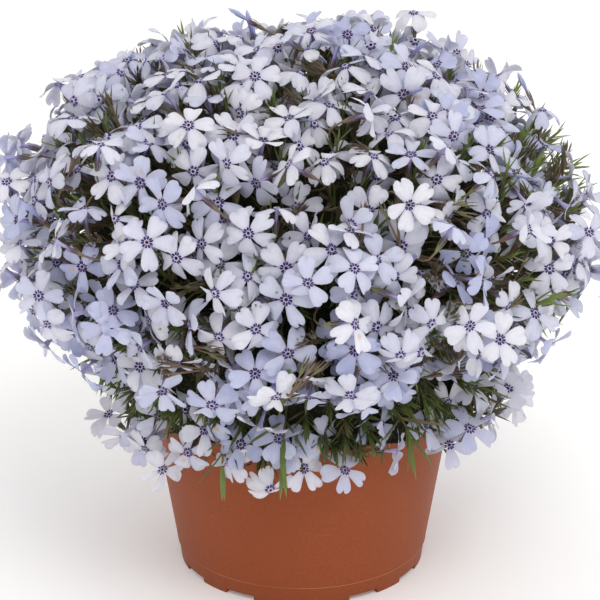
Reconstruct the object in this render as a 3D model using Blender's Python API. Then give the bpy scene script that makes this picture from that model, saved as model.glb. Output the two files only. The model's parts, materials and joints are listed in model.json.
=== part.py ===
"""Creeping phlox in full flower, in its round nursery pot.

Metres, +Z up. The origin is on the ground, on the pot's axis, and the front of the plant looks along -Y.
The pot holds the soil. Five stems stand in the soil and carry the leafy cushion. The sprays of blooms
stand all over that cushion and hang past the pot's rim.
"""

import math
from dataclasses import dataclass

import bmesh
import bpy
import numpy as np
from mathutils import Matrix, Vector
from mathutils.bvhtree import BVHTree

MM = 0.001
GAP = 0.3 * MM
SEED = 23

# Pot
POT_SIDES = 36
POT_HEIGHT = 98 * MM
RIM_RADIUS = 67 * MM
COLLAR_HEIGHT = 11 * MM
COLLAR_STEP = 1.8 * MM
SEAM_Z = 8 * MM
SEAM_RADIUS = 51.6 * MM
SEAM_STEP = 0.5 * MM
WALL = 1.8 * MM
FLOOR = 2 * MM
FLOOR_Z = 3 * MM
FOOT_RADIUS = 50.2 * MM
FOOT_WIDTH = 3.2 * MM
NOTCHES = 12
NOTCH_HEIGHT = 2 * MM
DRAIN_HOLES = 6
DRAIN_HOLE_SIDES = 8
DRAIN_HOLE_RADIUS = 4 * MM
DRAIN_CIRCLE = 33 * MM
DRAIN_TURN = math.radians(35)

# Soil and the stems that stand in it
SOIL_SIDES = 18
SOIL_EDGE_Z = 86 * MM
SOIL_TOP_Z = 90 * MM
STEMS = 5
STEM_SIDES = 6
STEM_RADIUS = 2.6 * MM
STEM_CIRCLE = 17 * MM
STEM_ROOT_Z = 58 * MM
STEM_TOP_Z = 108 * MM
HOLE_CLEARANCE = 0.6 * MM

# Mantle: the surface that the open blooms lie in, a squarish ball that ends in a skirt beside the pot
MANTLE_RADIUS = 114 * MM
MANTLE_CENTRE_Z = 141 * MM
MANTLE_UPPER_HEIGHT = 82 * MM
MANTLE_LOWER_HEIGHT = 72 * MM
UPPER_SQUARENESS = 2.1
LOWER_SQUARENESS = 1.9
SKIRT_RADIUS = 84 * MM
MANTLE_END_Z = 72 * MM
MANTLE_STEPS = 300
SWELL = 3 * MM
LEAN = 0.06
GOLDEN_TURN = math.pi * (3 - math.sqrt(5))

# Leafy cushion under the mantle
CUSHION_DEPTH = 27 * MM
CUSHION_SIDES = 20
CUSHION_RINGS = 9
CUSHION_BUMP = 3.5 * MM
RIM_CLEARANCE = 2.5 * MM
HEM_Z = 77 * MM
HEM_WIDTH = 6 * MM
HEM_RISE = 5 * MM
LEAF_LENGTH = (15 * MM, 21 * MM)
LEAF_RADIUS = 1.2 * MM
LEAF_ROOT = 3 * MM
TUFTS = 104
TUFT_LEAVES = 3
TUFT_RADIUS = 2.6 * MM
TUFT_LEAN = (math.radians(12), math.radians(50))
SHOOTS = 10
SHOOT_LEAVES = 4
SHOOT_RADIUS = 1.3 * MM
SHOOT_REACH = (22 * MM, 30 * MM)
SHOOT_LEAN = (0.0, math.radians(30))
SHOOT_LEAF_LEAN = (math.radians(28), math.radians(55))
SHOOT_BARE = 0.4

# Sprays: a knob on the cushion with about five blooms, larger than life so that 200 cover the mantle
SPRAYS = 38
KNOB_SIDES = 4
KNOB_FOOT = 1.8 * MM
KNOB_RADIUS = 3.2 * MM
KNOB_MIDDLE = 6.5 * MM
KNOB_TOP = 9 * MM
BLOOMS = 190
BLOOM_RADIUS = 15 * MM
SMALLEST_BLOOM = 0.8
PETALS = 5
VALLEY = 0.24
CORNER = 0.95
CORNER_TURN = math.radians(25)
NOTCH = 0.77
EYE_SINK = 0.8 * MM
CORNER_DROOP = 1.5 * MM
NOTCH_DROOP = 0.6 * MM
THROAT_RADIUS = 1.3 * MM
THROAT_DEPTH = 4.2 * MM
TUBE_RADIUS = 0.9 * MM
TUBE_SIDES = 3
TILT = math.radians(24)
ALONG_TUBE = 0.4
TO_LIGHT = 0.2
MOST_BEND = math.radians(48)
SHIFT = 4 * MM
SINK = (-4 * MM, 6 * MM)
NEAR = 60 * MM
TRIES = 60
MARGIN = 0.35 * MM

POT_COLOUR = (0.29, 0.078, 0.031)
SOIL_COLOUR = (0.018, 0.012, 0.008)
LEAF_COLOUR = (0.07, 0.14, 0.028)
PETAL_COLOUR = (0.48, 0.50, 0.82)


def clear_scene():
    for old in list(bpy.data.objects):
        bpy.data.objects.remove(old, do_unlink=True)


def make_material(name, colour, roughness):
    """A plain opaque finish; no part of a pot plant is metal."""
    made = bpy.data.materials.new(name)
    made.use_nodes = True
    shader = made.node_tree.nodes["Principled BSDF"]
    shader.inputs["Base Color"].default_value = (*colour, 1.0)
    shader.inputs["Roughness"].default_value = roughness
    shader.inputs["Metallic"].default_value = 0.0
    return made


def mesh_of(name, points, faces):
    """A mesh from points and faces, in triangles, with its faces turned outwards."""
    made = bpy.data.meshes.new(name)
    made.from_pydata([tuple(point) for point in points], [], faces)
    shell = bmesh.new()
    shell.from_mesh(made)
    bmesh.ops.recalc_face_normals(shell, faces=shell.faces)
    bmesh.ops.triangulate(shell, faces=shell.faces)
    shell.to_mesh(made)
    shell.free()
    return made


def add_object(name, mesh):
    made = bpy.data.objects.new(name, mesh)
    bpy.context.scene.collection.objects.link(made)
    return made


def ring_of(centre, u, v, radius, sides):
    turns = [math.tau * k / sides for k in range(sides)]
    return [centre + radius * (u * math.cos(turn) + v * math.sin(turn)) for turn in turns]


def turned_mesh(name, profile, sides):
    """Turns a profile of (radius, height), which starts and ends on the axis, into a closed body."""
    points = []
    rings = []
    for radius, height in profile:
        count = 1 if radius == 0 else sides
        rings.append(range(len(points), len(points) + count))
        points += ring_of(Vector((0, 0, height)), Vector((1, 0, 0)), Vector((0, 1, 0)), radius, count)
    faces = []
    for low, high in zip(rings, rings[1:]):
        for k in range(sides):
            after = (k + 1) % sides
            if len(low) == 1:
                faces.append((low[0], high[k], high[after]))
            elif len(high) == 1:
                faces.append((low[k], low[after], high[0]))
            else:
                faces.append((low[k], low[after], high[after], high[k]))
    return mesh_of(name, points, faces)


def rod_mesh(place, radius, length, sides):
    """A straight rod along its own Z, centred on its place."""
    shell = bmesh.new()
    bmesh.ops.create_cone(
        shell, cap_ends=True, segments=sides, radius1=radius, radius2=radius, depth=length, matrix=place
    )
    rod = bpy.data.meshes.new("rod")
    shell.to_mesh(rod)
    shell.free()
    return rod


def combine(base, others, operation, solver):
    """Joins or cuts base with all the others in one Boolean, then removes them."""
    tools = bpy.data.collections.new(base.name + "_tools")
    bpy.context.scene.collection.children.link(tools)
    for other in others:
        bpy.context.scene.collection.objects.unlink(other)
        tools.objects.link(other)
    step = base.modifiers.new("Combine", "BOOLEAN")
    step.operation = operation
    step.operand_type = "COLLECTION"
    step.collection = tools
    step.solver = solver
    graph = bpy.context.evaluated_depsgraph_get()
    combined = bpy.data.meshes.new_from_object(base.evaluated_get(graph))
    base.modifiers.clear()
    base.data = combined
    for other in others:
        bpy.data.objects.remove(other, do_unlink=True)
    bpy.data.collections.remove(tools)


def join(base, shapes):
    """Joins many small closed shapes to base, where EXACT leaves gaps, and drops any loose scrap."""
    parts = [add_object("shape", mesh_of("shape", *shape)) for shape in shapes]
    combine(base, parts, "UNION", "MANIFOLD")
    shell = bmesh.new()
    shell.from_mesh(base.data)
    bmesh.ops.triangulate(shell, faces=shell.faces)
    for scrap in bodies_of(shell)[1:]:
        bmesh.ops.delete(shell, geom=scrap, context="VERTS")
    shell.to_mesh(base.data)
    shell.free()


def bodies_of(shell):
    """The separate bodies of a mesh as lists of vertices, the largest first."""
    seen = set()
    bodies = []
    for start in shell.verts:
        if start in seen:
            continue
        seen.add(start)
        body = [start]
        for vertex in body:
            for edge in vertex.link_edges:
                other = edge.other_vert(vertex)
                if other not in seen:
                    seen.add(other)
                    body.append(other)
        bodies.append(body)
    return sorted(bodies, key=len, reverse=True)


def dress(piece, material):
    piece.data.materials.clear()
    piece.data.materials.append(material)


def wall_radius(height):
    """Outer radius of the pot's tapered wall at a height."""
    rise = (height - SEAM_Z) / (POT_HEIGHT - SEAM_Z)
    return SEAM_RADIUS + (RIM_RADIUS - COLLAR_STEP / 2 - SEAM_RADIUS) * rise


def make_pot(material):
    """Thin tapered wall with a collar at the rim, a seam near the ground and a notched foot ring."""
    collar_z = POT_HEIGHT - COLLAR_HEIGHT
    inside_z = FLOOR_Z + FLOOR
    profile = [
        (0.0, FLOOR_Z),
        (FOOT_RADIUS - FOOT_WIDTH, FLOOR_Z),
        (FOOT_RADIUS - FOOT_WIDTH, 0.0),
        (FOOT_RADIUS, 0.0),
        (SEAM_RADIUS - SEAM_STEP, SEAM_Z),
        (SEAM_RADIUS, SEAM_Z),
        (wall_radius(collar_z), collar_z),
        (RIM_RADIUS, collar_z + COLLAR_STEP),
        (RIM_RADIUS, POT_HEIGHT),
        (wall_radius(POT_HEIGHT) - WALL, POT_HEIGHT),
        (wall_radius(inside_z) - WALL, inside_z),
        (0.0, inside_z),
    ]
    pot = add_object("pot", turned_mesh("pot", profile, POT_SIDES))
    cutters = [make_notch(k) for k in range(NOTCHES)] + [make_drain_hole(k) for k in range(DRAIN_HOLES)]
    combine(pot, cutters, "DIFFERENCE", "EXACT")
    dress(pot, material)
    pot.data.shade_smooth()
    pot.data.set_sharp_from_angle(angle=math.radians(30))
    return pot


def make_notch(index):
    """A block that cuts one drainage notch out of the foot ring; the first is at the front."""
    turn = math.tau * index / NOTCHES - math.pi / 2
    width = math.pi * FOOT_RADIUS / NOTCHES
    place = Matrix.Rotation(turn, 4, "Z") @ Matrix.Translation((FOOT_RADIUS, 0, 0))
    size = Matrix.Diagonal((3 * FOOT_WIDTH, width, 2 * NOTCH_HEIGHT, 1.0))
    shell = bmesh.new()
    bmesh.ops.create_cube(shell, size=1.0, matrix=place @ size)
    block = bpy.data.meshes.new("notch")
    shell.to_mesh(block)
    shell.free()
    return add_object("notch", block)


def make_drain_hole(index):
    turn = math.tau * index / DRAIN_HOLES + DRAIN_TURN
    place = Matrix.Rotation(turn, 4, "Z") @ Matrix.Translation((DRAIN_CIRCLE, 0, FLOOR_Z))
    return add_object("drain", rod_mesh(place, DRAIN_HOLE_RADIUS, 4 * FLOOR, DRAIN_HOLE_SIDES))


def make_soil(material):
    """The filled inside of the pot, a little domed, with a plain hole for each stem."""
    low = FLOOR_Z + FLOOR + GAP
    margin = WALL + 1.5 * GAP
    profile = [
        (0.0, low),
        (wall_radius(low) - margin, low),
        (wall_radius(SOIL_EDGE_Z) - margin, SOIL_EDGE_Z),
        (2 * STEM_CIRCLE, SOIL_TOP_Z),
        (0.0, SOIL_TOP_Z),
    ]
    soil = add_object("soil", turned_mesh("soil", profile, SOIL_SIDES))
    hole_radius = STEM_RADIUS + HOLE_CLEARANCE
    holes = [make_stem(k, hole_radius, STEM_ROOT_Z - GAP, POT_HEIGHT) for k in range(STEMS)]
    combine(soil, holes, "DIFFERENCE", "EXACT")
    dress(soil, material)
    return soil


def make_stem(index, radius, low, high):
    """One upright stem, or the hole that it stands in."""
    turn = math.tau * index / STEMS
    middle = Vector((STEM_CIRCLE * math.cos(turn), STEM_CIRCLE * math.sin(turn), (low + high) / 2))
    return add_object("stem", rod_mesh(Matrix.Translation(middle), radius, high - low, STEM_SIDES))


def mantle_profile():
    """Samples of the mantle from its lower end to its top: radius, height and outward direction."""
    angle = np.linspace(-math.pi / 2, math.pi / 2, MANTLE_STEPS)
    power = np.where(angle > 0, UPPER_SQUARENESS, LOWER_SQUARENESS)
    tall = np.where(angle > 0, MANTLE_UPPER_HEIGHT, MANTLE_LOWER_HEIGHT)
    radius = MANTLE_RADIUS * np.cos(angle).clip(0) ** (2 / power)
    rise = tall * np.sign(angle) * np.abs(np.sin(angle)) ** (2 / power)
    out = radius ** (power - 1) / MANTLE_RADIUS**power
    lift = np.sign(rise) * np.abs(rise) ** (power - 1) / tall**power
    size = np.hypot(out, lift)
    hanging = (angle < 0) & (radius < SKIRT_RADIUS)
    radius = np.where(hanging, SKIRT_RADIUS, radius)
    out = np.where(hanging, 1.0, out / size)
    lift = np.where(hanging, 0.0, lift / size)
    kept = MANTLE_CENTRE_Z + rise >= MANTLE_END_Z
    return radius[kept], MANTLE_CENTRE_Z + rise[kept], out[kept], lift[kept]


def swell(turn, height):
    """How far the mantle stands out or in there, because a plant isn't perfectly round."""
    return SWELL * (math.sin(2 * turn + 0.8) + 0.7 * math.sin(4 * turn - 40 * height))


def mantle_places(count, first=0.5, turn_from=0.0):
    """Spreads places evenly over the mantle by the golden turn: a list of (point, outward direction)."""
    radius, height, out, lift = mantle_profile()
    strips = np.hypot(np.diff(radius), np.diff(height)) * (radius[1:] + radius[:-1]) / 2
    covered = np.concatenate(([0.0], np.cumsum(strips)))
    places = []
    for index in range(count):
        share = covered[-1] * (index + first) / count
        turn = turn_from + index * GOLDEN_TURN
        around = Vector((math.cos(turn), math.sin(turn), 0.0))
        up = float(np.interp(share, covered, height))
        normal = around * float(np.interp(share, covered, out))
        normal.z = float(np.interp(share, covered, lift))
        normal.normalize()
        point = around * float(np.interp(share, covered, radius)) + normal * swell(turn, up)
        point.z += up
        point.x -= LEAN * (up - MANTLE_CENTRE_Z)
        places.append((point, normal))
    return places


def cushion_mesh():
    """The leafy core: the mantle's own shape, a spray's length further in, with a hem round the pot's rim."""
    radius, height, out, lift = mantle_profile()
    underside = POT_HEIGHT + RIM_CLEARANCE
    lip = RIM_RADIUS + RIM_CLEARANCE
    profile = [(0.0, underside), (lip, underside), (lip, HEM_Z), (lip + HEM_WIDTH, HEM_Z + HEM_RISE)]
    for step in np.linspace(0, len(radius) - 1, CUSHION_RINGS + 1).astype(int)[:-1]:
        far = float(radius[step] - CUSHION_DEPTH * out[step])
        up = float(height[step] - CUSHION_DEPTH * lift[step])
        if far > lip + HEM_WIDTH and up > underside:
            profile.append((far, up))
    profile.append((0.0, float(height[-1] - CUSHION_DEPTH)))
    mesh = turned_mesh("foliage", profile, CUSHION_SIDES)
    draw = np.random.default_rng(SEED)
    middle = Vector((0.0, 0.0, MANTLE_CENTRE_Z))
    for vertex in mesh.vertices:
        bump = draw.uniform(-CUSHION_BUMP, CUSHION_BUMP)
        if math.hypot(vertex.co.x, vertex.co.y) > lip + HEM_WIDTH or vertex.co.z > underside + CUSHION_BUMP:
            vertex.co += (vertex.co - middle).normalized() * bump
    return mesh


def tree_of(points, faces):
    return BVHTree.FromPolygons([tuple(point) for point in points], faces)


def surface_of(mesh):
    return tree_of([vertex.co for vertex in mesh.vertices], [tuple(face.vertices) for face in mesh.polygons])


def onto(cushion, point, normal):
    """The way in from a place on the mantle to the cushion, from beside it where the place is lower."""
    start = Vector((point.x, point.y, max(point.z, HEM_Z + 2 * HEM_RISE)))
    return cushion.ray_cast(start, -normal)[:2]


def is_free(shape, taken):
    tree = tree_of(*shape)
    return not any(tree.overlap(other) for other in taken)


def upright_frame(axis, roll=0.0):
    """Three unit vectors, the last along axis, turned about it by roll."""
    ahead = axis.normalized()
    side = Vector((0, 0, 1)) if abs(ahead.z) < 0.9 else Vector((1, 0, 0))
    first = side.cross(ahead).normalized()
    u = first * math.cos(roll) + ahead.cross(first) * math.sin(roll)
    return u, ahead.cross(u), ahead


def leaning(axis, tilt, turn):
    """Axis, tilted by an angle towards a turn about itself."""
    u, v, ahead = upright_frame(axis)
    side = u * math.cos(turn) + v * math.sin(turn)
    return (ahead * math.cos(tilt) + side * math.sin(tilt)).normalized()


def tapered(start, end, radius, end_radius, sides):
    """A straight stem or leaf as points and faces; an end radius of 0 makes a point."""
    u, v, ahead = upright_frame(end - start)
    points = ring_of(start, u, v, radius, sides)
    points += ring_of(end, u, v, end_radius, sides) if end_radius else [end]
    faces = [tuple(reversed(range(sides)))]
    for k in range(sides):
        after = (k + 1) % sides
        faces.append((k, after, sides + after, sides + k) if end_radius else (k, after, sides))
    if end_radius:
        faces.append(tuple(range(sides, 2 * sides)))
    return points, faces


@dataclass
class Bloom:
    """One open flower: its eye, the way it faces, its turn about that, its size and its root."""

    eye: Vector
    axis: Vector
    roll: float
    radius: float
    root: Vector
    spray: int

    def rim(self):
        """The outline, petal after petal: (turn, distance from the eye, droop)."""
        outline = []
        for petal in range(PETALS):
            middle = math.tau * petal / PETALS
            outline.append((middle - math.pi / PETALS, VALLEY, 0.0))
            outline.append((middle - CORNER_TURN, CORNER, CORNER_DROOP))
            outline.append((middle, NOTCH, NOTCH_DROOP))
            outline.append((middle + CORNER_TURN, CORNER, CORNER_DROOP))
        return outline

    def head(self, grow=0.0):
        """Top and underside of the petals; the last three points are the throat's."""
        u, v, ahead = upright_frame(self.axis, self.roll)
        rim = self.rim()
        count = len(rim)
        points = [self.eye - ahead * EYE_SINK]
        for turn, reach, droop in rim:
            side = u * math.cos(turn) + v * math.sin(turn)
            points.append(self.eye + side * reach * (self.radius + grow) - ahead * droop)
        points += ring_of(self.eye - ahead * THROAT_DEPTH, u, v, THROAT_RADIUS + grow, TUBE_SIDES)
        throat = [count + 1 + round(TUBE_SIDES * turn / math.tau) % TUBE_SIDES for turn, reach, droop in rim]
        faces = []
        for k in range(count):
            after = (k + 1) % count
            faces.append((0, 1 + k, 1 + after))
            faces.append((1 + after, 1 + k, throat[k]))
            if throat[after] != throat[k]:
                faces.append((1 + after, throat[k], throat[after]))
        return points, faces

    def whole(self, grow=0.0):
        """The petals with the slender tube down to the root in the spray's knob."""
        points, faces = self.head(grow)
        first = len(points) - TUBE_SIDES
        ahead = (self.eye - self.root).normalized()
        across = upright_frame(self.axis, self.roll)[0]
        u = (across - ahead * across.dot(ahead)).normalized()
        points += ring_of(self.root, u, ahead.cross(u), TUBE_RADIUS + grow, TUBE_SIDES)
        for k in range(TUBE_SIDES):
            low = first + k
            next_low = first + (k + 1) % TUBE_SIDES
            faces.append((low, low + TUBE_SIDES, next_low + TUBE_SIDES))
            faces.append((low, next_low + TUBE_SIDES, next_low))
        faces.append(tuple(range(first + 2 * TUBE_SIDES - 1, first + TUBE_SIDES - 1, -1)))
        return points, faces


def draw_bloom(place, root, spray, draw, attempt):
    """One try at a bloom near its place; later tries are smaller and may lean further."""
    point, normal = place
    u, v, ahead = upright_frame(normal)
    shift = u * draw.uniform(-SHIFT, SHIFT) + v * draw.uniform(-SHIFT, SHIFT)
    eye = point + shift - ahead * draw.uniform(*SINK)
    facing = normal.lerp((eye - root).normalized(), ALONG_TUBE) + Vector((0, 0, TO_LIGHT))
    tilt = TILT * draw.uniform(0.1, 1.0 + attempt / TRIES)
    axis = leaning(facing, tilt, draw.uniform(0, math.tau))
    size = 1.0 - (1.0 - SMALLEST_BLOOM) * attempt / TRIES
    return Bloom(eye, axis, draw.uniform(0, math.tau), BLOOM_RADIUS * size, root, spray)


def is_clear(bloom, placed, taken):
    """True if the bloom touches nothing; only the tubes of one spray may meet, in its knob."""
    if bloom.axis.angle(bloom.eye - bloom.root) > MOST_BEND:
        return False
    if not is_free(bloom.whole(MARGIN), taken):
        return False
    whole = tree_of(*bloom.whole(MARGIN))
    head = tree_of(*bloom.head(MARGIN))
    for other, other_whole, other_head in placed:
        if (other.eye - bloom.eye).length > NEAR:
            continue
        if bloom.spray != other.spray and whole.overlap(other_whole):
            return False
        if head.overlap(other_whole) or whole.overlap(other_head):
            return False
    return True


def knob_shape(foot, facing):
    """The swollen joint at the base of a spray, where its tubes meet."""
    u, v, ahead = upright_frame(facing)
    points = ring_of(foot, u, v, KNOB_FOOT, KNOB_SIDES)
    points += ring_of(foot + ahead * KNOB_MIDDLE, u, v, KNOB_RADIUS, KNOB_SIDES)
    points.append(foot + ahead * KNOB_TOP)
    faces = [tuple(reversed(range(KNOB_SIDES)))]
    for k in range(KNOB_SIDES):
        after = (k + 1) % KNOB_SIDES
        faces.append((k, after, KNOB_SIDES + after, KNOB_SIDES + k))
        faces.append((KNOB_SIDES + k, KNOB_SIDES + after, 2 * KNOB_SIDES))
    return points, faces


def plan_knobs(cushion):
    """Where each spray stands: (foot, direction), just clear of the cushion."""
    knobs = []
    for point, normal in mantle_places(SPRAYS):
        hit, facing = onto(cushion, point, normal)
        foot = hit + facing * GAP
        while not is_free(knob_shape(foot, facing), [cushion]):
            foot += facing * GAP / 3
        knobs.append((foot, facing))
    return knobs


def plan_blooms(knobs, taken):
    """Chooses the blooms one by one over the mantle, each on its nearest knob and clear of the rest."""
    draw = np.random.default_rng(SEED)
    placed = []
    for place in mantle_places(BLOOMS):
        spray = min(range(len(knobs)), key=lambda k: (knobs[k][0] - place[0]).length)
        foot, facing = knobs[spray]
        for attempt in range(TRIES):
            bloom = draw_bloom(place, foot + facing * KNOB_MIDDLE, spray, draw, attempt)
            if is_clear(bloom, placed, taken):
                placed.append((bloom, tree_of(*bloom.whole()), tree_of(*bloom.head())))
                break
    return [bloom for bloom, whole, head in placed]


def make_spray(index, knob, blooms, material):
    """One spray: its knob and every bloom that stands on it, joined as one body."""
    spray = add_object(f"spray_{index + 1:02d}", mesh_of("spray", *knob_shape(*knob)))
    join(spray, [bloom.whole() for bloom in blooms])
    dress(spray, material)
    return spray


def leaf_at(start, axis, draw, taken):
    """One awl-shaped leaf, or none where it would cross a neighbour."""
    tip = start + axis * (LEAF_ROOT + draw.uniform(*LEAF_LENGTH))
    if is_free(tapered(start, tip, LEAF_RADIUS + MARGIN, MARGIN, 3), taken):
        return [tapered(start, tip, LEAF_RADIUS, 0, 3)]
    return []


def tuft_leaves(cushion, draw, taken):
    """Leaves in tufts of three, standing out of the cushion all over it."""
    leaves = []
    for point, normal in mantle_places(TUFTS, 0.5, math.radians(30)):
        hit = onto(cushion, point, normal)[0]
        start = draw.uniform(0, math.tau)
        for leaf in range(TUFT_LEAVES):
            turn = start + math.tau * leaf / TUFT_LEAVES
            axis = leaning(normal, draw.uniform(*TUFT_LEAN), turn)
            root = hit + leaning(normal, math.pi / 2, turn) * TUFT_RADIUS
            leaves += leaf_at(root - axis * LEAF_ROOT, axis, draw, taken)
    return leaves


def shoot_parts(hit, axis, draw, taken):
    """A pointed stem with leaves that turn round it, or nothing where it would cross a neighbour."""
    start = hit - axis * LEAF_ROOT
    end = hit + axis * draw.uniform(*SHOOT_REACH)
    if not is_free(tapered(start, end, SHOOT_RADIUS + MARGIN, MARGIN, 4), taken):
        return []
    parts = [tapered(start, end, SHOOT_RADIUS, 0, 4)]
    for leaf in range(SHOOT_LEAVES):
        share = SHOOT_BARE + (0.9 - SHOOT_BARE) * leaf / SHOOT_LEAVES
        along = leaning(axis, draw.uniform(*SHOOT_LEAF_LEAN), leaf * GOLDEN_TURN)
        parts += leaf_at(start.lerp(end, share), along, draw, taken)
    return parts


def leafy_shoots(cushion, draw, taken):
    """Shoots that reach out between the sprays, the furthest of them just past the blooms."""
    parts = []
    for point, normal in mantle_places(SHOOTS, 0.3, math.radians(70)):
        hit = onto(cushion, point, normal)[0]
        for attempt in range(TRIES):
            axis = leaning(normal, draw.uniform(*SHOOT_LEAN), draw.uniform(0, math.tau))
            found = shoot_parts(hit, axis, draw, taken)
            if len(found) == SHOOT_LEAVES + 1:
                parts += found
                break
    return parts


def make_foliage(cushion, neighbours, material):
    """The leafy cushion with its leaves and shoots, and the five stems that carry it out of the soil."""
    foliage = add_object("foliage", cushion)
    draw = np.random.default_rng(SEED + 1)
    surface = surface_of(cushion)
    taken = [surface_of(neighbour.data) for neighbour in neighbours]
    stems = [make_stem(k, STEM_RADIUS, STEM_ROOT_Z, STEM_TOP_Z) for k in range(STEMS)]
    combine(foliage, stems, "UNION", "EXACT")
    join(foliage, tuft_leaves(surface, draw, taken) + leafy_shoots(surface, draw, taken))
    dress(foliage, material)
    return foliage


def main():
    clear_scene()
    pot = make_pot(make_material("terracotta_plastic", POT_COLOUR, 0.45))
    make_soil(make_material("potting_soil", SOIL_COLOUR, 0.95))
    cushion = cushion_mesh()
    knobs = plan_knobs(surface_of(cushion))
    blooms = plan_blooms(knobs, [surface_of(cushion), surface_of(pot.data)])
    petals = make_material("petals", PETAL_COLOUR, 0.55)
    sprays = []
    for index, knob in enumerate(knobs):
        own = [bloom for bloom in blooms if bloom.spray == index]
        sprays.append(make_spray(index, knob, own, petals))
    make_foliage(cushion, [*sprays, pot], make_material("leaves", LEAF_COLOUR, 0.5))
    print(len(blooms), "blooms in", len(sprays), "sprays")


main()
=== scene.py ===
# %% [markdown]
# # A creeping phlox in full flower
#
# A plain CAD model of a potted phlox is the frame of this lesson. It has the right size and the right
# places, but its blooms are coarse and larger than life. Here each part gets its real form and finish:
# the moulded pot, the needle leaves, and more than seven hundred small lavender flowers of true size.
#
# The frame comes first, because everything else is measured against it.

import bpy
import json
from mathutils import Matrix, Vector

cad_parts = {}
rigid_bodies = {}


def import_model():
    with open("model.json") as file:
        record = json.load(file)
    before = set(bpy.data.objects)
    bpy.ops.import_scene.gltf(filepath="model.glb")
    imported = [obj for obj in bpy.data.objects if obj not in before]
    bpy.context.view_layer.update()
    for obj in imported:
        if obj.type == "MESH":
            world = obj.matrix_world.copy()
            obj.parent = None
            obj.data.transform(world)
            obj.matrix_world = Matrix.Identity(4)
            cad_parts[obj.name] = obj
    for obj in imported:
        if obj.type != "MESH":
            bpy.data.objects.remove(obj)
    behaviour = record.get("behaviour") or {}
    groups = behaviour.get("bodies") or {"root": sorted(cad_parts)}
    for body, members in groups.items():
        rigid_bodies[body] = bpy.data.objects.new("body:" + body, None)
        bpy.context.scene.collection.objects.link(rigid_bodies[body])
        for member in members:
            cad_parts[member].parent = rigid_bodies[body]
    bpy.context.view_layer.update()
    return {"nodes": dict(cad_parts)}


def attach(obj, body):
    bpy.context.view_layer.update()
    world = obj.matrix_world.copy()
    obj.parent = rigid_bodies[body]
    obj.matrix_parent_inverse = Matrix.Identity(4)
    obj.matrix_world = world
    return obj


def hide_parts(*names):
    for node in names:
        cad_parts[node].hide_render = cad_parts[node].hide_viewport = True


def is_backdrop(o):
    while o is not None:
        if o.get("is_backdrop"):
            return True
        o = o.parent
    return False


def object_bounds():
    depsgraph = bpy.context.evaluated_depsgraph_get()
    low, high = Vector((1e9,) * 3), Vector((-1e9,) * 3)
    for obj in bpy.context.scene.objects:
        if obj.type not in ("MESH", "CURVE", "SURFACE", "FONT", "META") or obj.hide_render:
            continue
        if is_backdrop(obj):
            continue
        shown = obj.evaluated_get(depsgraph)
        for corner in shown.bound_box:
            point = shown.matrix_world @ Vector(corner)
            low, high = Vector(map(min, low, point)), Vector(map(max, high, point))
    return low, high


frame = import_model()

# %% The lesson's other modules and its unit
import json
import math
from dataclasses import dataclass

import bmesh
import bpy
import numpy as np
from mathutils import Matrix, Vector, noise
from mathutils.bvhtree import BVHTree
from mathutils.kdtree import KDTree

MM = 0.001
GOLDEN_TURN = math.pi * (3 - math.sqrt(5))
print("the golden turn is", round(math.degrees(GOLDEN_TURN), 2), "degrees")

# %% [markdown]
# ## Small helpers for every node tree
#
# Colours are read off real things as sRGB hex values, but a renderer adds light in linear numbers, so
# one function turns the first into the second. Another adds a node, sets its options and fills or links
# its inputs, for shaders and for geometry alike, which keeps each tree as short as its idea. The kinds
# of node that come back in almost every material get short names. A Mix node keeps its two colours in
# inputs 6 and 7, and a Map Range node takes its value, its two old ends and its two new ends in order.


# %% Colour and node helpers
MIX = "ShaderNodeMix"
RANGE = "ShaderNodeMapRange"
NOISE = "ShaderNodeTexNoise"
MATH = "ShaderNodeMath"
BUMP = "ShaderNodeBump"
CARRIED = "ShaderNodeAttribute"


def colour(hex_code):
    """An sRGB hex value as linear RGBA."""
    channels = [int(hex_code[k : k + 2], 16) / 255 for k in (1, 3, 5)]
    linear = [c / 12.92 if c <= 0.04045 else ((c + 0.055) / 1.055) ** 2.4 for c in channels]
    return (*linear, 1.0)


def fill(tree, node, inputs):
    """Fills or links a node's inputs by name or number; a hex value is turned to linear first."""
    for key, value in inputs.items():
        if isinstance(value, bpy.types.NodeSocket):
            tree.links.new(value, node.inputs[key])
        else:
            is_hex = isinstance(value, str) and value.startswith("#")
            node.inputs[key].default_value = colour(value) if is_hex else value


def add_node(tree, kind, inputs, out=None, **settings):
    """Adds a node with its options and inputs, and gives the node, or one of its outputs."""
    node = tree.nodes.new(kind)
    for option, value in settings.items():
        setattr(node, option, value)
    fill(tree, node, inputs)
    return node if out is None else node.outputs[out]


def start_material(name):
    """A new material, its node tree and its one shader."""
    made = bpy.data.materials.new(name)
    made.use_nodes = True
    return made, made.node_tree, made.node_tree.nodes["Principled BSDF"]


print("a mid grey of 128 is", round(colour("#808080")[0], 3), "in linear light")

# %% [markdown]
# ## Camera, floor and light
#
# The photograph was taken with a long lens from a little above: the foot of the pot shows a flat
# ellipse whose height is about three eighths of its width, which means a camera tilted 22 degrees down.
# A long lens keeps the front and the back of the plant nearly the same size. The light is that of a
# white studio: one broad soft light from the right front, and white all round that fills the shadows,
# a little less of it from low on the left, which gives the pot its darker side.

# %% The camera
PITCH = math.radians(22.06)
TARGET = Vector((-0.7 * MM, 0.0, 111.9 * MM))
DISTANCE = 1.1303
FOCAL_LENGTH = 168
SENSOR_WIDTH = 36

lens = bpy.data.cameras.new("camera")
lens.lens = FOCAL_LENGTH
lens.sensor_width = SENSOR_WIDTH
camera = bpy.data.objects.new("camera", lens)
bpy.context.scene.collection.objects.link(camera)
camera.location = TARGET + DISTANCE * Vector((0.0, -math.cos(PITCH), math.sin(PITCH)))
camera.rotation_euler = (TARGET - camera.location).to_track_quat("-Z", "Y").to_euler()
bpy.context.scene.camera = camera
print("camera at", [round(x, 3) for x in camera.location])


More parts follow.
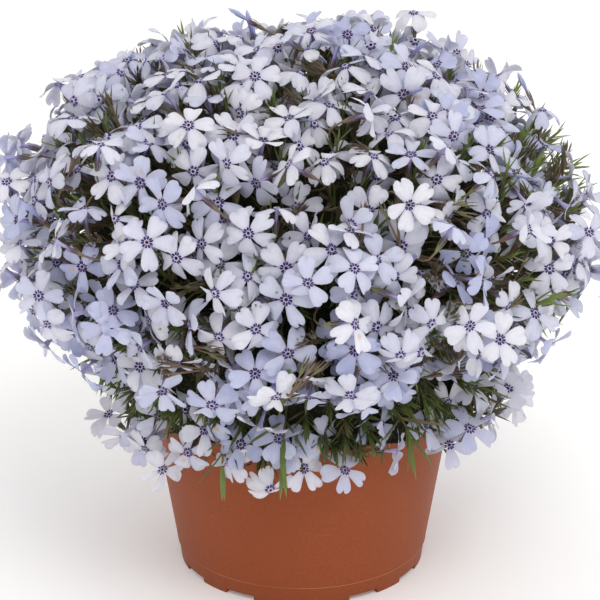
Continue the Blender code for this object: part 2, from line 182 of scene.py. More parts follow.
# %% The floor and the lights
def add_object(name, mesh):
    made = bpy.data.objects.new(name, mesh)
    bpy.context.scene.collection.objects.link(made)
    return made


def add_area_light(name, place, size, power, tint):
    """A square soft light that looks at the plant."""
    data = bpy.data.lights.new(name, "AREA")
    data.size = size
    data.energy = power
    data.color = tint
    lamp = add_object(name, data)
    lamp.location = place
    lamp.rotation_euler = (TARGET - lamp.location).to_track_quat("-Z", "Y").to_euler()


HALF_FLOOR = 4.0
corners = [(x * HALF_FLOOR, y * HALF_FLOOR, 0) for x, y in ((-1, -1), (1, -1), (1, 1), (-1, 1))]
floor_mesh = bpy.data.meshes.new("studio_floor")
floor_mesh.from_pydata(corners, [], [(0, 1, 2, 3)])
# white backdrop paper is matt; a faint glow stands for the light that a studio throws back onto it
paper, paper_tree, paper_shader = start_material("studio_paper")
fill(paper_tree, paper_shader, {"Base Color": "#FAFAFA", "Roughness": 0.9})
fill(paper_tree, paper_shader, {"Emission Color": "#FFFFFF", "Emission Strength": 0.13})
floor_mesh.materials.append(paper)
add_object("studio_floor", floor_mesh)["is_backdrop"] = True

studio = bpy.data.worlds.new("white_studio")
bpy.context.scene.world = studio
studio.use_nodes = True
sky = studio.node_tree
way = add_node(sky, "ShaderNodeSeparateXYZ", {0: add_node(sky, "ShaderNodeTexCoord", {}, "Generated")})
low_light = add_node(sky, RANGE, {0: way.outputs["X"], 1: -0.9, 2: 0.6, 3: 0.58, 4: 0.8}, 0)
high = add_node(sky, RANGE, {0: way.outputs["Z"], 1: 0.1, 2: 0.6}, 0)
strength = add_node(sky, MIX, {0: high, 2: low_light, 3: 0.91}, 0)
fill(sky, sky.nodes["Background"], {"Color": "#FFFEFC", "Strength": strength})
add_area_light("key_light", (0.3, -0.9, 1.4), 0.7, 7.8, (1.0, 0.99, 0.97))
bpy.context.scene.view_settings.view_transform = "Standard"

# %% [markdown]
# ## The pot
#
# The real pot is injection-moulded polypropylene: a thin tapered wall with a collar at its rim, and a
# foot ring that is cut by twelve notches so that water drains away. It could be carved from a cone, but
# a moulded pot is a turned shape, so a profile is turned round the axis and only the notches and the
# drain holes are cut. A small bevel afterwards gives each edge the soft line that a mould leaves.

# %% The pot's profile
POT_SIDES = 144
POT_HEIGHT = 98 * MM
RIM_RADIUS = 67 * MM
COLLAR_HEIGHT = 11 * MM
COLLAR_STEP = 1.8 * MM
SEAM_Z = 8 * MM
SEAM_RADIUS = 51.6 * MM
WALL = 1.8 * MM
FLOOR = 2 * MM
FLOOR_Z = 3 * MM
FOOT_RADIUS = 50.2 * MM
FOOT_WIDTH = 3.2 * MM
NOTCHES = 12
NOTCH_HEIGHT = 2 * MM
DRAIN_HOLES = 6
DRAIN_TURN = math.radians(35)
DRAIN_REACH = 33 * MM
DRAIN_RADIUS = 4 * MM


def wall_radius(height):
    """Outer radius of the tapered wall at a height."""
    rise = (height - SEAM_Z) / (POT_HEIGHT - SEAM_Z)
    return SEAM_RADIUS + (RIM_RADIUS - COLLAR_STEP / 2 - SEAM_RADIUS) * rise


def pot_profile():
    """Radius and height from the middle of the underside, up the outside and down the inside."""
    collar_z = POT_HEIGHT - COLLAR_HEIGHT
    inside_z = FLOOR_Z + FLOOR
    lip = 0.6 * MM
    outside = [(wall_radius(z), z) for z in np.linspace(SEAM_Z + 1.2 * MM, collar_z, 9)]
    return [
        (0.0, FLOOR_Z),
        (FOOT_RADIUS - FOOT_WIDTH, FLOOR_Z),
        (FOOT_RADIUS - FOOT_WIDTH, 0.0),
        (FOOT_RADIUS, 0.0),
        (SEAM_RADIUS - 0.45 * MM, SEAM_Z - 0.5 * MM),
        (SEAM_RADIUS + 0.1 * MM, SEAM_Z),
        *outside,
        (RIM_RADIUS, collar_z + COLLAR_STEP),
        (RIM_RADIUS, POT_HEIGHT - lip),
        (RIM_RADIUS - lip, POT_HEIGHT),
        (wall_radius(POT_HEIGHT) - WALL, POT_HEIGHT),
        (wall_radius(inside_z) - WALL, inside_z),
        (0.0, inside_z),
    ]


def turned_part(profile, sides):
    """Points and faces of a strip turned through (radius, height) rings; a radius of 0 closes it."""
    points = []
    rings = []
    for radius, height in profile:
        turns = [0.0] if radius == 0 else [math.tau * k / sides for k in range(sides)]
        rings.append(range(len(points), len(points) + len(turns)))
        points += [(radius * math.cos(t), radius * math.sin(t), height) for t in turns]
    faces = []
    for low, high in zip(rings, rings[1:]):
        for k in range(sides):
            after = (k + 1) % sides
            if len(low) == 1:
                faces.append((low[0], high[k], high[after]))
            elif len(high) == 1:
                faces.append((low[k], low[after], high[0]))
            else:
                faces.append((low[k], low[after], high[after], high[k]))
    return points, faces


def turned_mesh(name, profile, sides):
    """Turns a profile that starts and ends on the axis into a closed shell."""
    points, faces = turned_part(profile, sides)
    made = bpy.data.meshes.new(name)
    made.from_pydata(points, [], faces)
    turn_outwards(made)
    return made


def turn_outwards(mesh):
    """Faces of a closed mesh point out."""
    shell = bmesh.new()
    shell.from_mesh(mesh)
    bmesh.ops.recalc_face_normals(shell, faces=shell.faces)
    shell.to_mesh(mesh)
    shell.free()


pot = add_object("nursery_pot", turned_mesh("nursery_pot", pot_profile(), POT_SIDES))
print("pot rings:", len(pot_profile()), "faces:", len(pot.data.polygons))


# %% Cut the notches and the drain holes, then soften the edges
def object_from(shell, name):
    """Turns a worked shell into an object and lets go of the shell."""
    made = bpy.data.meshes.new(name)
    shell.to_mesh(made)
    shell.free()
    return add_object(name, made)


def block_at(turn, radius, size):
    """A box across the foot ring, to cut one notch."""
    place = Matrix.Rotation(turn, 4, "Z") @ Matrix.Translation((radius, 0, 0))
    shell = bmesh.new()
    bmesh.ops.create_cube(shell, size=1.0, matrix=place @ Matrix.Diagonal((*size, 1.0)))
    return object_from(shell, "block")


def drill_at(turn):
    """A round bar through the pot's floor, to cut one drain hole."""
    place = Matrix.Rotation(turn, 4, "Z") @ Matrix.Translation((DRAIN_REACH, 0, FLOOR_Z))
    shell = bmesh.new()
    size = {"segments": 24, "radius1": DRAIN_RADIUS, "radius2": DRAIN_RADIUS, "depth": 4 * FLOOR}
    bmesh.ops.create_cone(shell, cap_ends=True, matrix=place, **size)
    return object_from(shell, "drill")


def plain_copy(thing):
    """Turns a thing's modifiers into a plain mesh and takes them off."""
    graph = bpy.context.evaluated_depsgraph_get()
    thing.data = bpy.data.meshes.new_from_object(thing.evaluated_get(graph))
    thing.modifiers.clear()


notch_size = (3 * FOOT_WIDTH, math.pi * FOOT_RADIUS / NOTCHES, 2 * NOTCH_HEIGHT)
tools = [block_at(math.tau * k / NOTCHES - math.pi / 2, FOOT_RADIUS, notch_size) for k in range(NOTCHES)]
tools += [drill_at(math.tau * k / DRAIN_HOLES + DRAIN_TURN) for k in range(DRAIN_HOLES)]
box_of_tools = bpy.data.collections.new("tools")
bpy.context.scene.collection.children.link(box_of_tools)
for tool in tools:
    bpy.context.scene.collection.objects.unlink(tool)
    box_of_tools.objects.link(tool)
cut = pot.modifiers.new("Cut", "BOOLEAN")
cut.operand_type = "COLLECTION"
cut.collection = box_of_tools
cut.solver = "EXACT"
soften = pot.modifiers.new("Soften", "BEVEL")
soften.width = 0.3 * MM
soften.segments = 2
soften.limit_method = "ANGLE"
soften.angle_limit = math.radians(28)
plain_copy(pot)
for tool in tools:
    bpy.data.objects.remove(tool, do_unlink=True)
bpy.data.collections.remove(box_of_tools)
pot.data.shade_smooth()
pot.data.set_sharp_from_angle(angle=math.radians(45))
print("pot faces with notches and bevels:", len(pot.data.polygons))

# %% [markdown]
# ### Terracotta-coloured polypropylene
#
# The plastic is coloured right through and has a fine matt grain from the mould, so it shows a broad
# soft sheen and no sharp reflection. What the eye reads as plastic rather than clay is that evenness:
# only a faint cloudiness and a few pale rubbed marks break it. The bright line along the mould seam is a
# painted highlight.


# %% The pot's material
def polypropylene():
    made, tree, shader = start_material("terracotta_polypropylene")
    place = add_node(tree, "ShaderNodeTexCoord", {}, "Object")
    # the dye is cloudy over about 45 mm, and dust specks it every millimetre or so
    cloud = add_node(tree, NOISE, {"Vector": place, "Scale": 22.0, "Detail": 3.0}, "Fac")
    body = add_node(tree, MIX, {0: cloud, 6: "#8C4526", 7: "#9B4F2B"}, 2, data_type="RGBA")
    speck = add_node(tree, NOISE, {"Vector": place, "Scale": 800.0, "Detail": 2.0}, "Fac")
    specked = add_node(tree, RANGE, {0: speck, 1: 0.4, 2: 0.7, 3: 0.0, 4: 0.35}, 0)
    # painted highlight: a bright hair line along the mould seam that glints here and there
    height = add_node(tree, "ShaderNodeSeparateXYZ", {0: place}, "Z")
    above = add_node(tree, MATH, {0: height, 1: SEAM_Z}, 0, operation="SUBTRACT")
    away = add_node(tree, MATH, {0: above}, 0, operation="ABSOLUTE")
    line = add_node(tree, RANGE, {0: away, 1: 0.08 * MM, 2: 0.34 * MM, 3: 0.85, 4: 0.0}, 0)
    glint = add_node(tree, RANGE, {0: cloud, 1: 0.38, 2: 0.66, 3: 0.25, 4: 1.0}, 0)
    painted_seam_highlight = add_node(tree, MATH, {0: line, 1: glint}, 0, operation="MULTIPLY")
    # handling leaves pale scuffs that run round the pot, 17 mm long and 2 mm high
    stretch = {"Vector": place, "Scale": (60.0, 60.0, 420.0)}
    squeezed = add_node(tree, "ShaderNodeMapping", stretch, "Vector")
    rub = add_node(tree, NOISE, {"Vector": squeezed, "Scale": 1.0, "Detail": 5.0}, "Fac")
    rubbed = add_node(tree, RANGE, {0: rub, 1: 0.68, 2: 0.8, 3: 0.0, 4: 0.3}, 0)
    # the specks and scuffs are the plastic's own; the bright seam line is a painted highlight
    for amount, tint in ((specked, "#7C3D24"), (painted_seam_highlight, "#C98A63"), (rubbed, "#B87654")):
        body = add_node(tree, MIX, {0: amount, 6: body, 7: tint}, 2, data_type="RGBA")
    # mould grain is about 0.25 mm; it is drawn at 0.7 mm so that it shows at this size
    grain = add_node(tree, NOISE, {"Vector": place, "Scale": 1400.0, "Detail": 2.0}, "Fac")
    bump = add_node(tree, BUMP, {"Height": grain, "Strength": 0.22, "Distance": 0.1 * MM}, "Normal")
    fill(tree, shader, {"Roughness": 0.52, "IOR": 1.49, "Specular IOR Level": 0.18})
    fill(tree, shader, {"Base Color": body, "Normal": bump})
    return made


pot.data.materials.clear()
pot.data.materials.append(polypropylene())
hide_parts("pot")
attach(pot, "root")
print("the pot is made of", pot.data.materials[0].name)

# %% [markdown]
# ## Potting soil
#
# The soil only shows through the drain holes and in the deepest gaps, so the CAD solid keeps its shape
# and gets a finish: dark peat with paler crumbs of bark, moist enough to glisten a little.


# %% The soil's material
def peat():
    made, tree, shader = start_material("peat_compost")
    place = add_node(tree, "ShaderNodeTexCoord", {}, "Object")
    # bark crumbs are 3 to 5 mm across, and the peat between them breaks into crumbs of 1.5 mm
    crumb = add_node(tree, "ShaderNodeTexVoronoi", {"Vector": place, "Scale": 260.0}, "Distance")
    fine = add_node(tree, NOISE, {"Vector": place, "Scale": 700.0, "Detail": 4.0}, "Fac")
    pale = add_node(tree, RANGE, {0: crumb, 1: 0.1, 2: 0.7}, 0)
    tone = add_node(tree, MIX, {0: pale, 6: "#4A3728", 7: "#1C1510"}, 2, data_type="RGBA")
    rough = add_node(tree, MATH, {0: crumb, 1: fine}, 0, operation="ADD")
    bump = add_node(tree, BUMP, {"Height": rough, "Strength": 0.8, "Distance": 1.0 * MM}, "Normal")
    fill(tree, shader, {"Roughness": 0.86, "Base Color": tone, "Normal": bump})
    return made


soil = frame["nodes"]["soil"]
soil.data.materials.clear()
soil.data.materials.append(peat())
print("soil keeps", len(soil.data.polygons), "faces")

# %% [markdown]
# ## The mantle
#
# From a distance all the open flowers lie in one surface, the mantle: a squarish ball that narrows
# beside the pot and ends in a short skirt. The same few numbers shaped the CAD, so the flowers made
# here lie where its blooms are. A real plant isn't so regular: the mantle leans a little, swells and
# sinks as it goes round, has a slight waist above the pot, and is drawn in at two hollows. Places are
# spread over it by the golden turn, the rule that spaces seeds in a sunflower: each place turns on by
# 137.5 degrees and takes the same share of the area.

# %% Places on the mantle
MANTLE_RADIUS = 114 * MM
MANTLE_CENTRE_Z = 141 * MM
MANTLE_UPPER_HEIGHT = 82 * MM
MANTLE_LOWER_HEIGHT = 72 * MM
UPPER_SQUARENESS = 2.1
LOWER_SQUARENESS = 1.9
SKIRT_RADIUS = 84 * MM
MANTLE_END_Z = 72 * MM
MANTLE_STEPS = 300
SWELL = 3 * MM
LEAN = 0.06
WAIST_Z = 98 * MM
WAIST_SPREAD = 16 * MM
WAIST_DEPTH = 6 * MM
# each hollow: where it is, how wide and how deep
HOLLOWS = [
    (Vector((0.104, -0.005, 0.196)), 30 * MM, 11 * MM),
    (Vector((-0.112, -0.01, 0.112)), 28 * MM, 5 * MM),
]


def mantle_profile():
    """Samples from the mantle's lower end to its top: radius, height and outward direction."""
    angle = np.linspace(-math.pi / 2, math.pi / 2, MANTLE_STEPS)
    power = np.where(angle > 0, UPPER_SQUARENESS, LOWER_SQUARENESS)
    tall = np.where(angle > 0, MANTLE_UPPER_HEIGHT, MANTLE_LOWER_HEIGHT)
    radius = MANTLE_RADIUS * np.cos(angle).clip(0) ** (2 / power)
    rise = tall * np.sign(angle) * np.abs(np.sin(angle)) ** (2 / power)
    out = radius ** (power - 1) / MANTLE_RADIUS**power
    lift = np.sign(rise) * np.abs(rise) ** (power - 1) / tall**power
    size = np.hypot(out, lift)
    hanging = (angle < 0) & (radius < SKIRT_RADIUS)
    radius = np.where(hanging, SKIRT_RADIUS, radius)
    out = np.where(hanging, 1.0, out / size)
    lift = np.where(hanging, 0.0, lift / size)
    kept = MANTLE_CENTRE_Z + rise >= MANTLE_END_Z
    return radius[kept], MANTLE_CENTRE_Z + rise[kept], out[kept], lift[kept]


def swell(turn, height):
    """How far the mantle stands out or in there, because a plant isn't perfectly round."""
    return SWELL * (math.sin(2 * turn + 0.8) + 0.7 * math.sin(4 * turn - 40 * height))


def hollow_depth(point):
    """How far the mantle is drawn in there: a little all round above the pot, and in two hollows."""
    depth = WAIST_DEPTH * math.exp(-(((point.z - WAIST_Z) / WAIST_SPREAD) ** 2))
    for middle, reach, deep in HOLLOWS:
        depth += deep * math.exp(-(((point - middle).length / reach) ** 2))
    return depth


def mantle_places(count, first=0.5, turn_from=0.0):
    """Spreads places evenly over the mantle: a list of (point, outward direction)."""
    radius, height, out, lift = mantle_profile()
    strips = np.hypot(np.diff(radius), np.diff(height)) * (radius[1:] + radius[:-1]) / 2
    covered = np.concatenate(([0.0], np.cumsum(strips)))
    places = []
    for index in range(count):
        share = covered[-1] * (index + first) / count
        turn = turn_from + index * GOLDEN_TURN
        around = Vector((math.cos(turn), math.sin(turn), 0.0))
        up = float(np.interp(share, covered, height))
        normal = around * float(np.interp(share, covered, out))
        normal.z = float(np.interp(share, covered, lift))
        normal.normalize()
        point = around * float(np.interp(share, covered, radius)) + normal * swell(turn, up)
        point.z += up
        point.x -= LEAN * (up - MANTLE_CENTRE_Z)
        places.append((point - normal * hollow_depth(point), normal))
    return places


few = [round(point.z / MM) for point, normal in mantle_places(12)]
print("mantle: lowest place at", few[0], "mm, highest at", few[-1], "mm")

# %% [markdown]
# ## Scattering shapes with Geometry Nodes
#
# Petals, leaves and calyces repeat by the thousand. Each place is one vertex that carries its turn,
# size and kind, and one node tree puts a shape on every such vertex. A shape's faces carry a part
# number, and at its end the tree gives each part its material. Geometry Nodes do this in one step for
# thousands of shapes, where copying objects would take minutes.
#
# Stalks are a second tree: it turns chains of edges into curves and sweeps a thin ring along them.

# %% The tree that scatters shapes
SOCKETS = {
    "geometry": "NodeSocketGeometry",
    "collection": "NodeSocketCollection",
    "material": "NodeSocketMaterial",
    "count": "NodeSocketInt",
}
FIELD = "GeometryNodeInputNamedAttribute"
PARTS = 5


def start_tree(name, inputs):
    """A geometry tree with named inputs: the tree and its input node."""
    tree = bpy.data.node_groups.new(name, "GeometryNodeTree")
    for label, kind in {"Geometry": "geometry", **inputs}.items():
        tree.interface.new_socket(label, in_out="INPUT", socket_type=SOCKETS[kind])
    tree.interface.new_socket("Geometry", in_out="OUTPUT", socket_type=SOCKETS["geometry"])
    return tree, add_node(tree, "NodeGroupInput", {})


def scatter_tree():
    """Puts the shape of its kind on every point, turned and sized, and gives each part its material."""
    materials = {f"Material {part}": "material" for part in range(PARTS)}
    tree, given = start_tree("Scatter shapes", {"Shapes": "collection", **materials})
    held = {}
    for label, kind in (("kind", "INT"), ("turn", "QUATERNION"), ("size", "FLOAT"), ("part", "INT")):
        held[label] = add_node(tree, FIELD, {"Name": label}, "Attribute", data_type=kind)
    inputs = {"Collection": given.outputs["Shapes"], "Separate Children": True, "Reset Children": True}
    shapes = add_node(tree, "GeometryNodeCollectionInfo", inputs, "Instances")
    inputs = {"Points": given.outputs["Geometry"], "Instance": shapes, "Pick Instance": True}
    inputs |= {"Instance Index": held["kind"], "Rotation": held["turn"], "Scale": held["size"]}
    placed = add_node(tree, "GeometryNodeInstanceOnPoints", inputs, "Instances")
    flow = add_node(tree, "GeometryNodeRealizeInstances", {"Geometry": placed}, "Geometry")
    for part in range(PARTS):
        same = {"data_type": "INT", "operation": "EQUAL"}
        chosen = add_node(tree, "FunctionNodeCompare", {2: held["part"], 3: part}, 0, **same)
        inputs = {"Geometry": flow, "Selection": chosen, "Material": given.outputs[f"Material {part}"]}
        flow = add_node(tree, "GeometryNodeSetMaterial", inputs, "Geometry")
    add_node(tree, "NodeGroupOutput", {"Geometry": flow})
    return tree


def stalk_tree():
    """Sweeps a thin ring along chains of edges, as thick as each chain says."""
    tree, given = start_tree("Sweep stalks", {"Sides": "count", "Material": "material"})
    curve = add_node(tree, "GeometryNodeMeshToCurve", {"Mesh": given.outputs["Geometry"]}, "Curve")
    size = {"Resolution": given.outputs["Sides"], "Radius": 1.0}
    ring = add_node(tree, "GeometryNodeCurvePrimitiveCircle", size, "Curve")
    thickness = add_node(tree, FIELD, {"Name": "thickness"}, "Attribute", data_type="FLOAT")
    inputs = {"Curve": curve, "Profile Curve": ring, "Scale": thickness, "Fill Caps": True}
    swept = add_node(tree, "GeometryNodeCurveToMesh", inputs, "Mesh")
    smooth = add_node(tree, "GeometryNodeSetShadeSmooth", {"Geometry": swept}, "Geometry")
    real = add_node(tree, "GeometryNodeRealizeInstances", {"Geometry": smooth}, "Geometry")
    inputs = {"Geometry": real, "Material": given.outputs["Material"]}
    dressed = add_node(tree, "GeometryNodeSetMaterial", inputs, "Geometry")
    add_node(tree, "NodeGroupOutput", {"Geometry": dressed})
    return tree


SCATTER = scatter_tree()
STALKS = stalk_tree()
print("nodes in the two trees:", len(SCATTER.nodes), len(STALKS.nodes))


# %% Run a tree and keep its result as a plain mesh
def run_tree(name, mesh, tree, values):
    """Puts the tree on a mesh, sets its inputs by their identifiers, and keeps the result."""
    holder = add_object(name, mesh)
    step = holder.modifiers.new("Nodes", "NODES")
    step.node_group = tree
    for item in tree.interface.items_tree:
        if item.in_out == "INPUT" and item.name in values:
            step[item.identifier] = values[item.name]
    plain_copy(holder)
    return holder


def carry(mesh, name, kind, domain, values):
    """Stores one value for each vertex or face."""
    layer = mesh.attributes.new(name, kind, domain)
    layer.data.foreach_set("value", np.asarray(values).ravel())


@dataclass
class Spot:
    """One place for one shape: where, its turn, its size, its kind and its two colour numbers."""

    place: Vector
    turn: object
    size: float
    kind: int
    tint: float
    stain: float = 0.0


def turn_from(x_way, z_way):
    """The turn that takes +X to x_way and +Z as near as it can to z_way."""
    x = x_way.normalized()
    y = z_way.cross(x).normalized()
    return Matrix((x, y, x.cross(y))).transposed().to_quaternion()


def scatter(name, spots, shapes, materials):
    """One plain mesh with a shape on every spot."""
    mesh = bpy.data.meshes.new(name)
    mesh.from_pydata([tuple(spot.place) for spot in spots], [], [])
    carry(mesh, "turn", "QUATERNION", "POINT", [tuple(spot.turn) for spot in spots])
    for label, kind in (("size", "FLOAT"), ("kind", "INT"), ("tint", "FLOAT"), ("stain", "FLOAT")):
        carry(mesh, label, kind, "POINT", [getattr(spot, label) for spot in spots])
    worn = {f"Material {part}": materials[min(part, len(materials) - 1)] for part in range(PARTS)}
    return run_tree(name, mesh, SCATTER, {"Shapes": shapes, **worn})


def shape_box(name, meshes):
    """A collection that holds one object for each shape, in order, outside the scene."""
    box = bpy.data.collections.new(name)
    for index, mesh in enumerate(meshes):
        box.objects.link(bpy.data.objects.new(f"{name}_{index:02d}", mesh))
    return box


print("a spot carries:", list(Spot.__dataclass_fields__))

# %% [markdown]
# ## One petal
#
# A phlox petal starts as a narrow claw at the eye, widens to a broad blade and ends in a shallow notch
# between two round lobes. It is thin and soft, so no two lie alike: some cup, some droop, some fold
# along the middle. The blade is one sheet of 26 faces with a second sheet just under it, sewn together
# round the edge, which is as thin as a petal is and still a closed body.
#
# Two short violet dashes stand at the base of each petal. Seen together, the ten dashes make the ring
# round the eye. They are tiny raised faces, because a painted mark would blur.

# %% The petal's outline and its surface
PETAL_LENGTH = 10.9
HALF_BLADE = 3.0
# half the rim from the claw round to the notch, in mm: (how far from the eye, how far from the middle)
HALF_OUTLINE = [(1.1, 0.8), (2.4, 1.55), (4.6, 2.65), (7.0, 3.5), (8.8, 3.7), (10.1, 3.05)]
HALF_OUTLINE += [(10.8, 1.75), (10.6, 0.75)]
MIDDLE = [(1.1, 0.0), (2.4, 0.0), (4.6, 0.0), (7.0, 0.0)]
NOTCH_REACH = 10.2
LOBE = (8.7, 1.75)
DASH = [(0.8, 0.3), (1.3, 0.1), (1.95, 0.18), (2.35, 0.6), (2.1, 1.12), (1.35, 0.84)]
DASH_TOP = (1.7, 0.55)
PETAL_BODY = 0.16


@dataclass
class Bend:
    """How one petal is cut and how it lies, in mm: lifted, curled at the tip, folded, waved, twisted."""

    width: float
    notch: float
    cup: float
    curl: float
    fold: float
    wave: float
    twist: float

    def height(self, x, y):
        """Height of the petal's upper face in mm."""
        along = x / PETAL_LENGTH
        across = y / HALF_BLADE
        rise = self.cup * along**2 - self.curl * max(0.0, along - 0.4) ** 2 * 2.8
        rise += self.fold * abs(across) * along + self.twist * across * along
        return rise + self.wave * math.sin(5.0 * along + 2.0 * across) * along


def petal_mesh(index, bend):
    """A closed petal of two sheets, with its two dashes."""
    right = [(x, y * (bend.width if x > 3 else 1)) for x, y in HALF_OUTLINE]
    left = [(x, -y) for x, y in reversed(right)]
    rim = [*right, (NOTCH_REACH - bend.notch, 0.0), *left, MIDDLE[0]]
    inner = [*MIDDLE[1:], LOBE, (LOBE[0], -LOBE[1])]
    rim_points = [(x, y, bend.height(x, y)) for x, y in rim]
    upper = [(x, y, bend.height(x, y) + PETAL_BODY / 2) for x, y in inner]
    lower = [(x, y, z - PETAL_BODY) for x, y, z in upper]
    points = [*rim_points, *upper, *lower]
    count = len(rim)
    faces = half_faces(0, count) + half_faces(1, count)
    tops = len(faces)
    faces += [tuple(reversed([v if v < count else v + len(inner) for v in face])) for face in faces]
    parts = [0] * len(faces)
    back = [0.0] * tops + [1.0] * tops
    for side in (1, -1):
        first = len(points)
        for x, y in DASH:
            points.append((x, side * y, bend.height(x, side * y) + 0.05))
        x, y = DASH_TOP
        points.append((x, side * y, bend.height(x, side * y) + 0.26))
        ring = [first + k for k in range(len(DASH))]
        if side < 0:
            ring.reverse()
        for k, corner in enumerate(ring):
            faces.append((ring[(k + 1) % len(ring)], corner, first + len(DASH)))
        faces.append(tuple(ring))
        parts += [1] * (len(DASH) + 1)
        back += [0.0] * (len(DASH) + 1)
    made = bpy.data.meshes.new(f"petal_{index}")
    made.from_pydata([tuple(MM * c for c in point) for point in points], [], faces)
    carry(made, "part", "INT", "FACE", parts)
    carry(made, "back", "FLOAT", "FACE", back)
    carry(made, "along", "FLOAT", "POINT", [point[0] / PETAL_LENGTH for point in points])
    carry(made, "across", "FLOAT", "POINT", [abs(point[1]) / HALF_BLADE for point in points])
    smooth_but_rim(made, tops)
    return made


def half_faces(side, count):
    """The upper faces of one half of the blade; count is the number of rim points."""
    half = len(HALF_OUTLINE)
    edge = list(range(half)) if side == 0 else [2 * half - k for k in range(half)]
    start = count - 1
    notch = half
    one, two, three = count, count + 1, count + 2
    lobe = count + 3 + side
    found = [
        (start, edge[0], one),
        (edge[0], edge[1], one),
        (one, edge[1], two),
        (edge[1], edge[2], two),
        (two, edge[2], three),
        (edge[2], edge[3], three),
        (three, edge[3], lobe),
        (edge[3], edge[4], lobe),
        (edge[4], edge[5], lobe),
        (edge[5], edge[6], lobe),
        (edge[6], edge[7], lobe),
        (edge[7], notch, lobe),
        (notch, three, lobe),
    ]
    return found if side == 0 else [tuple(reversed(face)) for face in found]


def smooth_but_rim(mesh, tops):
    """Smooth faces, with a sharp edge where the two sheets meet."""
    mesh.polygons.foreach_set("use_smooth", [True] * len(mesh.polygons))
    owners = {}
    for face in mesh.polygons:
        for key in face.edge_keys:
            owners.setdefault(key, []).append(face.index)
    for edge in mesh.edges:
        pair = owners[edge.key]
        edge.use_edge_sharp = len(pair) == 2 and (pair[0] < tops) != (pair[1] < tops)


BENDS = [
    Bend(1.0, 0.2, 0.6, 1.6, 0.7, 0.15, 0.0),
    Bend(0.92, 0.5, 1.6, 1.0, 0.9, 0.2, 0.6),
    Bend(1.05, 0.0, -0.4, 2.4, 0.5, 0.3, -0.6),
    Bend(0.88, 0.8, 0.9, 2.6, -0.8, 0.3, 0.9),
    Bend(1.0, 0.4, -1.4, 1.4, 1.1, 0.15, -1.1),
    Bend(0.92, -0.1, 2.2, 3.2, 1.4, 0.3, 0.5),
    Bend(1.06, 0.6, 0.3, 4.0, 0.4, 0.4, -0.5),
    Bend(0.84, 0.3, 0.7, 0.6, 1.2, 0.4, 1.2),
    Bend(0.96, 1.0, -0.7, 3.4, 0.9, 0.2, 0.8),
    Bend(1.0, 0.1, 1.3, 1.8, -1.0, 0.4, -0.9),
]
petals = [petal_mesh(index, bend) for index, bend in enumerate(BENDS)]
print("one petal has", len(petals[0].polygons), "faces;", len(petals), "bends")

# %% [markdown]
# ## The heart of a flower
#
# Behind the petals a phlox flower is a slender tube, 11 mm long and barely 2 mm wide. Its mouth is
# dark red-brown with a crumb of orange pollen in it. The heart is a turned shape with a few sides, in
# the same box of shapes as the petals, so that one tree places both. Its rings belong to parts: 4 is
# the tube, 0 the pale rim, 2 the throat, and 3 the pollen. Part 1 is the dashes on the petals.

# %% Throat, pollen and tube
HEART_SIDES = 6
TUBE_LENGTH = 11.2


def build_shape(name, pieces):
    """One mesh from pieces: each is (points in mm, faces, part of each face, along of each point)."""
    points, faces, parts, along = [], [], [], []
    for some_points, some_faces, some_parts, some_along in pieces:
        faces += [tuple(v + len(points) for v in face) for face in some_faces]
        points += some_points
        parts += some_parts
        along += some_along
    made = bpy.data.meshes.new(name)
    made.from_pydata([tuple(MM * c for c in point) for point in points], [], faces)
    turn_outwards(made)
    carry(made, "part", "INT", "FACE", parts)
    carry(made, "back", "FLOAT", "FACE", [0.0] * len(faces))
    carry(made, "along", "FLOAT", "POINT", along)
    carry(made, "across", "FLOAT", "POINT", [0.0] * len(points))
    made.shade_smooth()
    made.set_sharp_from_angle(angle=math.radians(50))
    return made


def heart_mesh():
    """From the bottom of the tube up its outside, over the pale rim and down into the throat."""
    profile = [(0, -TUBE_LENGTH), (0.72, -11.0), (0.62, -6.0), (0.8, -2.2), (1.28, -0.25), (1.2, 0.12)]
    profile += [(0.72, 0.12), (0.5, -1.0), (0, -1.3)]
    points, faces = turned_part(profile, HEART_SIDES)
    part_of_ring = [4, 4, 4, 4, 4, 0, 2, 2]
    parts = [part for part in part_of_ring for k in range(HEART_SIDES)]
    along = [0.0 if z > -0.3 else -z / TUBE_LENGTH for x, y, z in points]
    crumb_points, crumb_faces = turned_part([(0, -1.1), (0.3, -0.6), (0, -0.1)], 4)
    crumb_points = [(x + 0.18, y + 0.1, z) for x, y, z in crumb_points]
    pollen = (crumb_points, crumb_faces, [3] * len(crumb_faces), [0.0] * len(crumb_points))
    return build_shape("heart", [(points, faces, parts, along), pollen])


heart = heart_mesh()
FLOWER_SHAPES = shape_box("flower_shape", [*petals, heart])
HEART_KIND = len(petals)
print("the heart has", len(heart.polygons), "faces")
